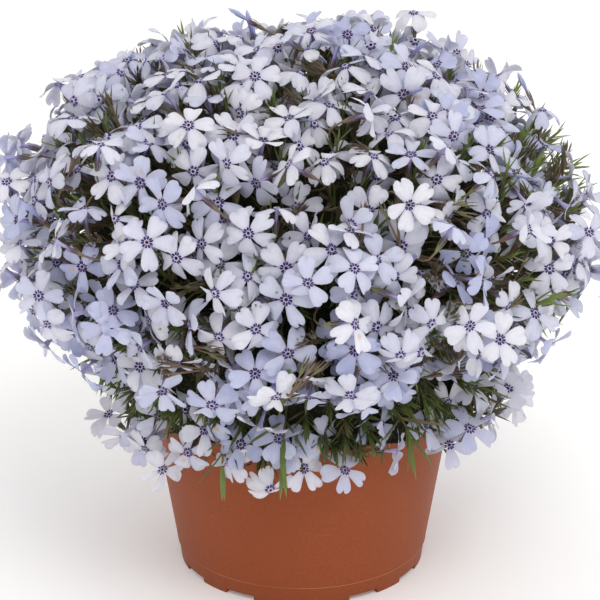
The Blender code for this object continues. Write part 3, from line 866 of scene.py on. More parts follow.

# %% [markdown]
# ## Petal tissue and its neighbours
#
# A petal is a film of water-filled cells over air, which is why it is so bright: most of the light
# comes back from inside. Its surface is covered with tiny cones, so it looks velvety and hardly
# reflects. The colour is palest in the middle of the blade, and bluer towards the claw, on the back
# and on flowers that opened today. Flowers that sink deeper are also made a little bluer and darker,
# which is painted shade. Each petal carries its own tint number for that. A few petals have the
# peach-brown stain of an early frost or of pollen. Light that enters the blade comes out again a little
# further on, blue the furthest, which gives lit petals their soft glow.


# %% The flower's materials
def petal_tissue():
    made, tree, shader = start_material("phlox_petal")
    along, across, fresh, back, stain = [
        add_node(tree, CARRIED, {}, "Fac", attribute_name=name)
        for name in ("along", "across", "tint", "back", "stain")
    ]
    # a high tint number marks a fresh flower, and a little of it is painted shade on flowers that sink
    # deeper
    face = add_node(tree, MIX, {0: fresh, 6: "#E8E8F4", 7: "#AEB5E2"}, 2, data_type="RGBA")
    behind = add_node(tree, MIX, {0: fresh, 6: "#D5D4E6", 7: "#A8ADD8"}, 2, data_type="RGBA")
    tone = add_node(tree, MIX, {0: back, 6: face, 7: behind}, 2, data_type="RGBA")
    claw = add_node(tree, RANGE, {0: along, 1: 0.12, 2: 0.5, 3: 0.5, 4: 0.0}, 0)
    halo = add_node(tree, RANGE, {0: along, 1: 0.14, 2: 0.3, 3: 0.45, 4: 0.0}, 0)
    # veins run from the claw to the rim; real ones are 0.7 mm apart, these are drawn 1.6 mm apart
    wave = add_node(tree, MATH, {0: across, 1: 12.0}, 0, operation="MULTIPLY")
    vein = add_node(tree, MATH, {0: wave}, 0, operation="SINE")
    veined = add_node(tree, RANGE, {0: vein, 1: 0.5, 2: 1.0, 3: 0.0, 4: 0.14}, 0)
    # the tissue is cloudy over 2 to 3 mm
    place = add_node(tree, "ShaderNodeTexCoord", {}, "Object")
    cloud = add_node(tree, NOISE, {"Vector": place, "Scale": 420.0, "Detail": 2.0}, "Fac")
    clouded = add_node(tree, RANGE, {0: cloud, 1: 0.35, 2: 0.75, 3: 0.0, 4: 0.2}, 0)
    # a stain is a patch 2 to 3 mm across, ragged at its edge
    reach = add_node(tree, RANGE, {0: along, 1: 0.2, 2: 0.45, 3: 0.0, 4: 1.0}, 0)
    ended = add_node(tree, RANGE, {0: along, 1: 0.45, 2: 0.72, 3: 1.0, 4: 0.0}, 0)
    middle = add_node(tree, RANGE, {0: across, 1: 0.0, 2: 0.55, 3: 1.0, 4: 0.0}, 0)
    ragged = reach
    for share in (ended, middle, cloud):
        ragged = add_node(tree, MATH, {0: ragged, 1: share}, 0, operation="MULTIPLY")
    patch = add_node(tree, RANGE, {0: ragged, 1: 0.08, 2: 0.4, 3: 0.0, 4: 0.9}, 0)
    stained = add_node(tree, MATH, {0: patch, 1: stain}, 0, operation="MULTIPLY")
    layers = [(claw, "#C6C1DA"), (halo, "#8E7CC0"), (veined, "#BDBCDD"), (clouded, "#D9D6E8")]
    for amount, tint in [*layers, (stained, "#CB9F78")]:
        tone = add_node(tree, MIX, {0: amount, 6: tone, 7: tint}, 2, data_type="RGBA")
    # the blade is softly crumpled, in waves about 3 mm long
    crumple = add_node(tree, NOISE, {"Vector": place, "Scale": 330.0, "Detail": 2.0}, "Fac")
    bump = add_node(tree, BUMP, {"Height": crumple, "Strength": 0.5, "Distance": 0.9 * MM}, "Normal")
    fill(tree, shader, {"Roughness": 0.62, "IOR": 1.4, "Specular IOR Level": 0.25})
    fill(tree, shader, {"Sheen Weight": 0.12, "Sheen Roughness": 0.4, "Subsurface Weight": 0.45})
    fill(tree, shader, {"Subsurface Scale": 0.9 * MM, "Subsurface Radius": (1.0, 1.0, 1.2)})
    fill(tree, shader, {"Base Color": tone, "Normal": bump})
    return made


def plain_tissue(name, code, roughness):
    """A part under 2 mm across: its colour is even, and its grain of swollen cells is drawn as bump."""
    made, tree, shader = start_material(name)
    place = add_node(tree, "ShaderNodeTexCoord", {}, "Object")
    # the cells are under 0.1 mm; they are drawn at 0.3 mm
    cells = add_node(tree, NOISE, {"Vector": place, "Scale": 3300.0}, "Fac")
    bump = add_node(tree, BUMP, {"Height": cells, "Strength": 0.5, "Distance": 0.1 * MM}, "Normal")
    fill(tree, shader, {"Base Color": code, "Roughness": roughness, "Normal": bump})
    return made


def tube_tissue():
    """The flower's tube: violet below, paler where it opens, with the dull shine of a green stem."""
    made, tree, shader = start_material("corolla_tube")
    along = add_node(tree, CARRIED, {}, "Fac", attribute_name="along")
    fade = add_node(tree, RANGE, {0: along, 1: 0.05, 2: 0.8}, 0)
    tone = add_node(tree, MIX, {0: fade, 6: "#B9B4DC", 7: "#7561A8"}, 2, data_type="RGBA")
    fill(tree, shader, {"Roughness": 0.55, "Base Color": tone})
    return made


PETAL = petal_tissue()
EYE_MARK = plain_tissue("violet_eye_mark", "#2A165E", 0.6)
THROAT = plain_tissue("throat_maroon", "#4A1A22", 0.7)
POLLEN = plain_tissue("orange_pollen", "#A85A22", 0.8)
TUBE = tube_tissue()
FLOWER_MATERIALS = [PETAL, EYE_MARK, THROAT, POLLEN, TUBE]
print("flower materials:", [material.name for material in FLOWER_MATERIALS])

# %% [markdown]
# ## Placing the flowers
#
# Each flower gets a place near its lattice point, a little proud of the mantle or sunk among its
# neighbours, and faces outwards but also up towards the light. Real petals push each other aside. Here
# each flower is tried in several ways, and the way that crosses the fewest flowers already placed is
# kept. The test uses a coarse star for each flower, in a bounding-volume tree, so it stays quick.
#
# The flowers don't cover the plant evenly. They stand in clouds with gaps between them, more of them on
# the right and on top, and a slow noise decides where. At the pot's rim they hang lower on the left of
# the front than on its right.


# %% Directions
def frame_of(axis, roll=0.0):
    """Three unit vectors, the last along axis, turned about it by roll."""
    ahead = axis.normalized()
    side = Vector((0, 0, 1)) if abs(ahead.z) < 0.9 else Vector((1, 0, 0))
    first = side.cross(ahead).normalized()
    u = first * math.cos(roll) + ahead.cross(first) * math.sin(roll)
    return u, ahead.cross(u), ahead


def leaning(axis, tilt, turn):
    """Axis, tilted by an angle towards a turn about itself."""
    u, v, ahead = frame_of(axis)
    side = u * math.cos(turn) + v * math.sin(turn)
    return (ahead * math.cos(tilt) + side * math.sin(tilt)).normalized()


lean = leaning(Vector((0, 0, 1)), math.radians(30), 0.0)
print("upright, tilted by 30 degrees, points to", [round(x, 3) for x in lean])

# %% A flower and its coarse star
FLOWER_RADIUS = PETAL_LENGTH * MM
# for each petal, three rim points of the star: (degrees from its middle, share of its length)
STAR_POINTS = ((-36, 0.3), (-19, 0.95), (19, 0.95))


@dataclass
class Flower:
    """One open flower: its eye, the way it faces, its roll, size, droop and tint."""

    eye: Vector
    axis: Vector
    roll: float
    size: float
    droop: float
    tint: float

    def star(self):
        """A coarse copy of the five petals, for the crossing test."""
        u, v, ahead = frame_of(self.axis, self.roll)
        points = [self.eye - ahead * 0.5 * MM]
        for petal in range(5):
            for turn, reach in STAR_POINTS:
                angle = math.tau * petal / 5 + math.radians(turn)
                side = u * math.cos(angle) + v * math.sin(angle)
                drop = ahead * math.sin(self.droop) * reach
                points.append(self.eye + (side * reach - drop) * FLOWER_RADIUS * self.size)
        count = len(points) - 1
        faces = [(0, 1 + k, 1 + (k + 1) % count) for k in range(count)]
        return BVHTree.FromPolygons([tuple(point) for point in points], faces)


level = Flower(Vector((0, 0, 0)), Vector((0, 0, 1)), 0.0, 1.0, 0.0, 0.0)
tilted = Flower(Vector((5 * MM, 0, 0)), Vector((1, 0, 1)), 0.0, 1.0, 0.0, 0.0)
crossed = level.star().overlap(tilted.star())
print("a flower and a tilted one 5 mm beside it cross in", len(crossed), "pairs of faces")

# %% One try at a flower
PROUD_SHARE = 0.12
FRESH_SHARE = 0.31
TO_LIGHT = Vector((0.03, -0.2, 0.2))
# from the shoulder up, flowers lie deeper, droop more and are less often fresh
SHOULDER_Z = 170 * MM
SHOULDER_RISE = 55 * MM
# beside the pot no flower sinks deeper than this, in mm, or it would touch the wall
RIM_SINK = 2.0


def draw_flower(place, depth, draw):
    """One try at a flower near its place; most are open and pale, some are fresh and blue."""
    point, normal = place
    high = max(0.0, (point.z - SHOULDER_Z) / SHOULDER_RISE)
    u, v, ahead = frame_of(normal)
    # the shift along the mantle and the depth under it are in mm
    shift = u * draw.normal(0, 3.6) + v * draw.normal(0, 3.6)
    proud = depth == 0 and draw.random() < PROUD_SHARE * (1 - high)
    sink = draw.uniform(-7.5, -3.0) if proud else depth + draw.triangular(-2.0 + 3.0 * high, 2.5, 9.0)
    if point.z < POT_HEIGHT + 4 * MM:
        sink = min(sink, RIM_SINK)
    facing = normal + TO_LIGHT * (1 - min(1.0, high))
    tilt = math.radians(draw.triangular(2, 24, 84))
    fresh = draw.random() < FRESH_SHARE * (1 + 2 * noise.noise(point * 20)) * (1 - 0.6 * high)
    tint = draw.uniform(0.45, 1.0) if fresh else draw.beta(1.2, 4.0)
    return Flower(
        eye=point + (shift - ahead * sink) * MM,
        axis=leaning(facing, tilt, draw.uniform(0, math.tau)),
        roll=draw.uniform(0, math.tau),
        size=draw.uniform(0.87, 1.02),
        droop=math.radians(draw.normal(-4, 9) if fresh else draw.normal(9 + 14 * high, 12)),
        # painted shade: the deeper a flower sinks, the bluer and darker its tint
        tint=float(np.clip(tint + 0.01 * max(sink, 0.0), 0, 1)),
    )


draw = np.random.default_rng(1)
tried = [draw_flower((Vector((0, 0, 0)), Vector((0, -1, 0))), 0.0, draw) for k in range(200)]
print("of 200 tries, clearly blue:", sum(1 for flower in tried if flower.tint > 0.45))

# %% Where the flowers end, hang lower and leave gaps
# the hem: where it ends higher and by how much; where it hangs lower, how far and up to what height
HEM_GAP_TURN = math.radians(-64)
HEM_GAP_RISE = 3 * MM
HEM_DROP_TURN = math.radians(-112)
HEM_DROP = 10 * MM
HEM_DROP_REACH = 15 * MM
# the gaps: waves of the noise in a metre, and the level under which a place stays open
GAP_PITCH = 46.0
GAP_LEVEL = -0.37
GAP_SHIFT = Vector((7.4, 2.9, 1.8))
# more places stay open near the top and on the right, and none beside the pot
TOP_GAPS = 0.11
TOP_GAPS_Z = 190 * MM
RIGHT_GAPS = 0.26
RIGHT_GAPS_X = 75 * MM
GAP_FLOOR_Z = 98 * MM


def below_hem(point):
    """The flowers hang down all round the rim, but end higher at one place near the front."""
    away = abs(math.atan2(point.y, point.x) - HEM_GAP_TURN)
    lifted = HEM_GAP_RISE * max(0.0, math.cos(2 * away)) if away < math.pi / 4 else 0.0
    return point.z < MANTLE_END_Z + lifted


def hanging(place):
    """Near the hem the flowers sink lower on one side, in front of the pot."""
    point, normal = place
    away = math.atan2(point.y, point.x) - HEM_DROP_TURN
    share = max(0.0, math.cos(away)) ** 2 * max(0.0, 1 - (point.z - MANTLE_END_Z) / HEM_DROP_REACH)
    return point - Vector((0, 0, HEM_DROP * share)), normal


def in_gap(point):
    """Whether a place stays open, so that stalks and needles show there."""
    if point.z < GAP_FLOOR_Z:
        return False
    bared = TOP_GAPS if point.z > TOP_GAPS_Z else RIGHT_GAPS if point.x > RIGHT_GAPS_X else 0.0
    return noise.noise(point * GAP_PITCH + GAP_SHIFT) < GAP_LEVEL + bared


open_places = sum(1 for point, normal in mantle_places(1000) if in_gap(point))
print("places in gaps, of 1000:", open_places)

# %% Try, test and keep
FLOWERS = 700
# a second, thinner layer lies this much deeper, in mm, and closes the view between the first
LOWER_FLOWERS = 150
LOWER_DEPTH = 8.0
TRIES = 14
NEAR = 27 * MM


def place_flowers(places, draw):
    """Chooses a flower for every place; each stays clear of the others where it can."""
    kept, stars = [], []
    eyes = np.zeros((len(places), 3))
    crossings = 0
    for place, depth in places:
        around = np.linalg.norm(eyes[: len(kept)] - np.array(place[0]), axis=1)
        rivals = [stars[k] for k in np.flatnonzero(around < NEAR)]
        best = None
        for attempt in range(TRIES):
            flower = draw_flower(place, depth, draw)
            star = flower.star()
            crossed = sum(1 for rival in rivals if star.overlap(rival))
            if best is None or crossed < best[0]:
                best = (crossed, flower, star)
            if crossed == 0:
                break
        crossings += best[0]
        eyes[len(kept)] = best[1].eye
        kept.append(best[1])
        stars.append(best[2])
    print("flowers:", len(kept), "petal crossings left:", crossings)
    return kept


def above_hem(places):
    """The places that aren't too low to bear a flower."""
    return [place for place in places if not below_hem(place[0])]


upper_places = above_hem(mantle_places(FLOWERS, 0.5, 0.3))
lower_places = above_hem(mantle_places(LOWER_FLOWERS, 0.5, 1.4))
gap_places = [place for place in upper_places if in_gap(place[0])]
flower_places = [(hanging(place), 0.0) for place in upper_places if not in_gap(place[0])]
flower_places += [(hanging(place), LOWER_DEPTH) for place in lower_places]
print("places that stay open:", len(gap_places))
flowers = place_flowers(flower_places, np.random.default_rng(7))


# %% Give each flower to the CAD spray it stands for
STAINED_SHARE = 0.02


def spray_finder():
    """The CAD sprays' names, a tree of all their points, and the spray that each point belongs to."""
    names = sorted(name for name in frame["nodes"] if name.startswith("spray_"))
    finder = KDTree(sum(len(frame["nodes"][name].data.vertices) for name in names))
    owner = []
    for index, name in enumerate(names):
        for vertex in frame["nodes"][name].data.vertices:
            finder.insert(vertex.co, len(owner))
            owner.append(index)
    finder.balance()
    return names, finder, owner


def flower_spots(flower, draw):
    """The five petals and the heart of one flower."""
    u, v, ahead = frame_of(flower.axis, flower.roll)
    spots = []
    for petal in range(5):
        angle = math.tau * petal / 5 + draw.normal(0, 0.07)
        out = u * math.cos(angle) + v * math.sin(angle)
        droop = flower.droop + math.radians(draw.normal(0, 8))
        along = out * math.cos(droop) - ahead * math.sin(droop)
        up = ahead + out.cross(ahead) * math.tan(math.radians(draw.normal(0, 10)))
        tint = float(np.clip(flower.tint + draw.normal(0, 0.07), 0, 1))
        stain = float(draw.uniform(0.4, 1.0)) if draw.random() < STAINED_SHARE else 0.0
        kind = int(draw.integers(len(BENDS)))
        size = flower.size * draw.uniform(0.97, 1.03)
        spots.append(Spot(flower.eye, turn_from(along, up), size, kind, tint, stain))
    spots.append(Spot(flower.eye, turn_from(u, ahead), flower.size, HEART_KIND, flower.tint))
    return spots


names, finder, owner = spray_finder()
bunches = {name: [] for name in names}
draw = np.random.default_rng(11)
for flower in flowers:
    nearest = finder.find(flower.eye)[1]
    bunches[names[owner[nearest]]] += flower_spots(flower, draw)
total = 0
for name in names:
    piece = scatter(name + "_flowers", bunches[name], FLOWER_SHAPES, FLOWER_MATERIALS)
    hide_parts(name)
    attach(piece, "root")
    total += len(piece.data.polygons)
print("flower faces in all:", total, "in", len(names), "pieces")

# %% [markdown]
# ## Calyces, buds and stalks
#
# Each tube sits in a calyx of five narrow pointed lobes, purple-brown above and green below, on a thin
# wiry stalk. Calyces that have dropped their flower and pointed spindle buds stand between the open
# flowers, and in the gaps they take the flowers' places. All of these are shapes on spots again, and
# the stalks are swept along gently bent chains.

# %% Calyx and bud shapes
CALYX_LOBES = 5


def lobe_part(turn, flare):
    """One narrow lobe: a three-sided spike that starts on the cup and flares a little."""
    along_points = [(0.95, -10.6), (1.15 + flare * 0.5, -7.8), (1.1 + flare, -4.6)]
    points = []
    for radius, height in along_points[:2]:
        for shift in (-0.32, 0.32):
            angle = turn + shift / 0.95
            points.append((radius * math.cos(angle), radius * math.sin(angle), height))
        points.append(((radius + 0.25) * math.cos(turn), (radius + 0.25) * math.sin(turn), height))
    radius, height = along_points[2]
    points.append((radius * math.cos(turn), radius * math.sin(turn), height))
    faces = [(0, 1, 4, 3), (1, 2, 5, 4), (2, 0, 3, 5), (3, 4, 6), (4, 5, 6), (5, 3, 6), (0, 2, 1)]
    return points, faces, [0] * len(faces), [0.35] * 3 + [0.7] * 3 + [1.0]


def calyx_parts(flare):
    """The cup under the tube and its ring of lobes."""
    profile = [(0, -14.0), (0.42, -13.6), (0.95, -11.6), (1.0, -10.2), (0, -9.6)]
    points, faces = turned_part(profile, CALYX_LOBES)
    cup = (points, faces, [0] * len(faces), [0.0 if z < -12 else 0.3 for x, y, z in points])
    turns = [math.tau * (k + 0.5) / CALYX_LOBES for k in range(CALYX_LOBES)]
    return [cup, *(lobe_part(turn, flare * (0.8 + 0.1 * k)) for k, turn in enumerate(turns))]


def bud_part(reach, girth):
    """A furled bud: a twisted spindle that ends in a point."""
    rings = [(0, -10.0), (0.62, -9.5), (0.6, -5.0), (girth * 0.8, -2.0), (girth, 0.4)]
    points, faces = turned_part([*rings, (girth * 0.7, reach - 2.2), (0, reach)], 5)
    turned = []
    for x, y, z in points:
        twist = 0.16 * max(0.0, z + 3.0)
        cos, sin = math.cos(twist), math.sin(twist)
        turned.append((x * cos - y * sin, x * sin + y * cos, z))
    return turned, faces, [1] * len(faces), [(z + 10) / (reach + 10) for x, y, z in turned]


calyx_shapes = [
    build_shape("calyx_closed", calyx_parts(0.1)),
    build_shape("calyx_open", calyx_parts(0.9)),
    build_shape("bud_long", [*calyx_parts(0.2), bud_part(5.2, 1.25)]),
    build_shape("bud_short", [*calyx_parts(0.1), bud_part(1.2, 1.0)]),
]
CALYX_SHAPES = shape_box("calyx_shape", calyx_shapes)
print("faces in each calyx shape:", [len(mesh.polygons) for mesh in calyx_shapes])


# %% Calyx and bud materials
def calyx_tissue():
    """A dull hairy skin, green to purple-brown and darkest at the tips, which takes the shine off."""
    made, tree, shader = start_material("calyx_tissue")
    along, tint = [add_node(tree, CARRIED, {}, "Fac", attribute_name=name) for name in ("along", "tint")]
    base = add_node(tree, MIX, {0: tint, 6: "#727448", 7: "#6C5646"}, 2, data_type="RGBA")
    tip = add_node(tree, RANGE, {0: along, 1: 0.3, 2: 1.0, 3: 0.0, 4: 0.8}, 0)
    tone = add_node(tree, MIX, {0: tip, 6: base, 7: "#523A3C"}, 2, data_type="RGBA")
    fill(tree, shader, {"Roughness": 0.6, "Sheen Weight": 0.15, "Base Color": tone})
    return made


def bud_tissue():
    """Petals rolled up tight: their blue backs show, deepest at the foot, with a soft shine."""
    made, tree, shader = start_material("furled_bud")
    along = add_node(tree, CARRIED, {}, "Fac", attribute_name="along")
    fade = add_node(tree, RANGE, {0: along, 1: 0.3, 2: 0.9}, 0)
    tone = add_node(tree, MIX, {0: fade, 6: "#837FB6", 7: "#B0B8DE"}, 2, data_type="RGBA")
    fill(tree, shader, {"Roughness": 0.5, "Base Color": tone})
    return made


def stalk_bark():
    """Thin wiry stalks are purple-brown on the sunny side and olive in the shade; here the two colours
    lie in random patches.
    """
    made, tree, shader = start_material("phlox_stalk")
    place = add_node(tree, "ShaderNodeTexCoord", {}, "Object")
    # the two colours change over about 6 mm
    patchy = add_node(tree, NOISE, {"Vector": place, "Scale": 160.0, "Detail": 3.0}, "Fac")
    sunned = add_node(tree, RANGE, {0: patchy, 1: 0.3, 2: 0.7}, 0)
    tone = add_node(tree, MIX, {0: sunned, 6: "#7A6C48", 7: "#6E544C"}, 2, data_type="RGBA")
    fill(tree, shader, {"Roughness": 0.58, "Base Color": tone})
    return made


CALYX_MATERIALS = [calyx_tissue(), bud_tissue()]
STALK = stalk_bark()
print("calyx materials:", [material.name for material in CALYX_MATERIALS])


# %% Calyces behind the flowers, buds and empty calyces between them
def bend_point(start, middle, end, t):
    """A point of the soft bend from start to end that is drawn towards middle."""
    return start * (1 - t) ** 2 + middle * (2 * t * (1 - t)) + end * t**2


def stalk_chain(top, away, foot, rise, segments=5):
    """Points of a stalk that leaves the calyx straight and bends to its foot."""
    return [bend_point(top, top + away * rise, foot, step / segments) for step in range(segments + 1)]


CLUSTERS = 210
BUD_SHARE = 0.13
LOWEST_CLUSTER = 92 * MM
# the calyx's foot lies this far behind the eye, and clusters stand this far, in mm, out of the hollows
CALYX_REACH = 13.6 * MM
HOLLOW_PROUD = 8.0
calyx_spots, chains = [], []
draw = np.random.default_rng(23)
for flower in flowers:
    u, v, ahead = frame_of(flower.axis, flower.roll)
    calyx_spots.append(Spot(flower.eye, turn_from(u, ahead), flower.size, 0, float(draw.uniform(0, 1))))
    top = flower.eye - ahead * CALYX_REACH * flower.size
    foot = flower.eye * 0.72 + Vector((0, 0, MANTLE_CENTRE_Z * 0.28)) - ahead * 6 * MM
    chains.append((stalk_chain(top, -ahead, foot, 9 * MM), 0.42 * MM, 0.5 * MM))
cluster_places = [place for place in mantle_places(CLUSTERS, 0.4, 1.9) if place[0].z > LOWEST_CLUSTER]
for point, normal in cluster_places + gap_places:
    upwards = normal + Vector((0, 0, 0.3))
    side = leaning(upwards, math.radians(draw.uniform(5, 75)), draw.uniform(0, math.tau))
    in_hollow = hollow_depth(point) > 5 * MM and point.z > WAIST_Z + WAIST_SPREAD
    proud = HOLLOW_PROUD if in_hollow else 0.0
    tip = point - normal * (draw.uniform(-2.5, 5.0) - proud) * MM
    has_buds = draw.random() < BUD_SHARE
    knot = tip - side * 22 * MM
    foot = knot * 0.85 + Vector((0, 0, MANTLE_CENTRE_Z * 0.15)) - normal * 9 * MM
    chains.append((stalk_chain(knot, -side, foot, 6 * MM), 0.45 * MM, 0.55 * MM))
    for member in range(int(draw.integers(1, 3 if has_buds else 5))):
        spread = leaning(side, math.radians(draw.uniform(4, 20)), draw.uniform(0, math.tau))
        u, v, ahead = frame_of(spread)
        kind = int(draw.choice([2, 3])) if has_buds else int(draw.choice([0, 1, 1]))
        size = draw.uniform(0.78, 0.98)
        top = knot + ahead * draw.uniform(6, 11) * MM
        eye = top + ahead * CALYX_REACH * size
        calyx_spots.append(Spot(eye, turn_from(u, ahead), size, kind, float(draw.uniform(0, 1))))
        chains.append((stalk_chain(top, -ahead, knot, 3 * MM, 3), 0.4 * MM, 0.45 * MM))
calyces = scatter("calyces_and_buds", calyx_spots, CALYX_SHAPES, CALYX_MATERIALS)
print("calyces and buds:", len(calyx_spots), "faces:", len(calyces.data.polygons))


# %% The stalks
def sweep(name, chains, sides, material):
    """One mesh of thin stalks; each chain is (points, radius at its start, radius at its end)."""
    points, edges, thickness = [], [], []
    for chain, start, end in chains:
        first = len(points)
        points += [tuple(point) for point in chain]
        edges += [(first + k, first + k + 1) for k in range(len(chain) - 1)]
        thickness += list(np.linspace(start, end, len(chain)))
    mesh = bpy.data.meshes.new(name)
    mesh.from_pydata(points, edges, [])
    carry(mesh, "thickness", "FLOAT", "POINT", thickness)
    return run_tree(name, mesh, STALKS, {"Sides": sides, "Material": material})


stalks = sweep("flower_stalks", chains, 4, STALK)
for piece in (calyces, stalks):
    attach(piece, "root")
print("stalks:", len(chains), "faces:", len(stalks.data.polygons))

# %% [markdown]
# ## Leafy shoots
#
# Creeping phlox is also called moss phlox for its leaves: stiff green needles, 8 to 16 mm long and
# about 1.5 mm wide, in pairs that cross each other up the shoot and crowd at its tip. The shoots fill
# the dome under the flowers, and a few reach past them. At the pot's rim a collar of short shoots fills
# the room between the flowers and the pot, and a few long fresh ones hang over it. One leaf is a slim
# keeled blade of ten faces.


# %% The leaf shapes
def leaf_mesh(index, width, bow, broad):
    """A keeled blade along +X, 10 mm long, with its upper side to +Z."""
    stations = [(0.0, 0.55), (0.3, 1.0), (0.68, broad)]
    points = []
    for share, part in stations:
        x = 10 * share
        rise = bow * share**2 * 10
        half = width * part / 2
        points += [(x, half, rise + 0.12), (x, -half, rise + 0.12), (x, 0.0, rise - 0.28)]
    points.append((10.0, 0.0, bow * 10))
    faces = [(0, 2, 1)]
    for ring in (0, 3):
        faces += [(ring, ring + 1, ring + 4, ring + 3), (ring + 1, ring + 2, ring + 5, ring + 4)]
        faces.append((ring + 2, ring, ring + 3, ring + 5))
    faces += [(6, 7, 9), (7, 8, 9), (8, 6, 9)]
    along = [share for share, part in stations for k in range(3)] + [1.0]
    return build_shape(f"leaf_{index}", [(points, faces, [0] * len(faces), along)])


# (width in mm, bow, share of the width that is left near the tip)
LEAF_FORMS = [(1.25, 0.06, 0.75), (1.5, 0.16, 0.8), (1.1, -0.08, 0.7)]
SLIM_LEAVES = (0, 2)
leaf_shapes = [leaf_mesh(index, *form) for index, form in enumerate(LEAF_FORMS)]
LEAF_SHAPES = shape_box("leaf_shape", leaf_shapes)
print("one leaf has", len(leaf_shapes[0].polygons), "faces")


# %% The leaf's material
def leaf_tissue():
    """A firm waxy needle: fresh green outside, olive and brown further in, with a paler tip."""
    made, tree, shader = start_material("needle_leaf")
    along, tint, stain = [
        add_node(tree, CARRIED, {}, "Fac", attribute_name=name) for name in ("along", "tint", "stain")
    ]
    tone = add_node(tree, MIX, {0: tint, 6: "#484E2A", 7: "#7C9440"}, 2, data_type="RGBA")
    tip = add_node(tree, RANGE, {0: along, 1: 0.75, 2: 1.0, 3: 0.0, 4: 0.35}, 0)
    # darker patches are about 3 mm long
    place = add_node(tree, "ShaderNodeTexCoord", {}, "Object")
    patchy = add_node(tree, NOISE, {"Vector": place, "Scale": 300.0, "Detail": 2.0}, "Fac")
    dark = add_node(tree, RANGE, {0: patchy, 1: 0.3, 2: 0.8, 3: 0.0, 4: 0.3}, 0)
    for amount, shade in ((stain, "#6B5434"), (tip, "#A5A45A"), (dark, "#2F3C1C")):
        tone = add_node(tree, MIX, {0: amount, 6: tone, 7: shade}, 2, data_type="RGBA")
    fill(tree, shader, {"Roughness": 0.42, "Specular IOR Level": 0.45, "Base Color": tone})
    return made


LEAF = leaf_tissue()
print("leaf material:", LEAF.name)


# %% Shoots all over the dome
def grow_shoot(foot, tip, sag, pairs, length, freshness, draw, kinds=(0, 1, 2)):
    """One shoot: its stem's chain, and the spots of its leaves in crossing pairs."""
    middle = foot.lerp(tip, 0.5) + sag
    chain = [bend_point(foot, middle, tip, t) for t in np.linspace(0, 1, 5)]
    spots = []
    for pair in range(pairs):
        t = 0.28 + 0.7 * pair / (pairs - 1)
        place = bend_point(foot, middle, tip, t)
        ahead = ((middle - foot) * (1 - t) + (tip - middle) * t).normalized()
        # towards the tip the leaves close up, and they are fresher and less often brown
        for side in (0, 1):
            turn = math.pi * side + math.pi / 2 * (pair % 2) + draw.normal(0, 0.15)
            lean = math.radians(draw.uniform(34, 62) * (1 - 0.55 * t))
            way = leaning(ahead, lean, turn)
            size = length * draw.uniform(0.8, 1.15) * (1 - 0.35 * abs(t - 0.6))
            tint = float(np.clip(freshness * (0.35 + 0.65 * t) + draw.normal(0, 0.08), 0, 1))
            stain = float(draw.uniform(0.3, 0.9)) if draw.random() < 0.3 * (1 - t) else 0.0
            spots.append(Spot(place, turn_from(way, ahead), size, int(draw.choice(kinds)), tint, stain))
    return chain, spots


SHOOTS = 430
# one shoot in so many reaches up between the flowers, and so do all that stand in the right side's gaps
PROUD_EVERY = 41
draw = np.random.default_rng(31)
chains, leaf_spots = [], []
for index, (point, normal) in enumerate(mantle_places(SHOOTS, 0.5, 2.6)):
    upwards = normal + Vector((0, 0, 0.2))
    way = leaning(upwards, math.radians(draw.uniform(0, 28)), draw.uniform(0, math.tau))
    proud = index % PROUD_EVERY == 0 or (point.x > RIGHT_GAPS_X and in_gap(point))
    depth = draw.uniform(0, 4) if proud else draw.uniform(6.5, 15.5)
    tip = point - normal * depth * MM
    foot = tip - way * draw.uniform(26, 32) * MM
    sag = Vector((0, 0, -1)) * draw.uniform(0, 4) * MM
    fresh = 0.8 if proud else draw.uniform(0.1, 0.65)
    chain, spots = grow_shoot(foot, tip, sag, 8, draw.uniform(0.85, 1.25), fresh, draw)
    chains.append((chain, 0.7 * MM, 0.4 * MM))
    leaf_spots += spots
print("shoots:", len(chains), "leaves:", len(leaf_spots))

# %% Shoots at the pot's rim
HEM_SHOOTS = 60
LONG_SHARE = 0.1
COLLAR_SHOOTS = 130
COLLAR_FOOT_Z = 79 * MM
THIN_STEM = (0.5 * MM, 0.35 * MM)


def outwards_at(index, count, jitter, draw):
    """The way out from the pot's axis at one of many shoots round it."""
    turn = math.tau * (index + draw.uniform(-jitter, jitter)) / count
    return Vector((math.cos(turn), math.sin(turn), 0))


for index in range(HEM_SHOOTS):
    around = outwards_at(index, HEM_SHOOTS, 0.3, draw)
    long = draw.random() < LONG_SHARE
    foot = around * 71 * MM + Vector((0, 0, draw.uniform(88, 100) * MM))
    reach = draw.triangular(2, 4, 15) if long else draw.triangular(-1, 1, 6)
    tip = around * (74 + reach) * MM + Vector((0, 0, draw.uniform(70, 90) * MM))
    length = draw.uniform(1.6, 2.1) if long else draw.uniform(0.8, 1.2)
    pairs, fresh = (3, 0.55) if long else (6, 0.12)
    chain, spots = grow_shoot(foot, tip, around * 5 * MM, pairs, length, fresh, draw, SLIM_LEAVES)
    chains.append((chain, *THIN_STEM))
    leaf_spots += spots
for index in range(COLLAR_SHOOTS):
    around = outwards_at(index, COLLAR_SHOOTS, 0.4, draw)
    height = draw.uniform(79, 102) * MM
    foot = around * 69.5 * MM + Vector((0, 0, height + draw.uniform(0, 12) * MM))
    tip = around * (74 * MM + 0.35 * (height - COLLAR_FOOT_Z)) + Vector((0, 0, height))
    length, fresh = draw.uniform(0.75, 1.15), draw.uniform(0.1, 0.4)
    chain, spots = grow_shoot(foot, tip, around * 2 * MM, 6, length, fresh, draw)
    chains.append((chain, *THIN_STEM))
    leaf_spots += spots
leaves = scatter("needle_leaves", leaf_spots, LEAF_SHAPES, [LEAF])
stems = sweep("shoot_stems", chains, 4, STALK)
print("leaf faces:", len(leaves.data.polygons), "stem faces:", len(stems.data.polygons))

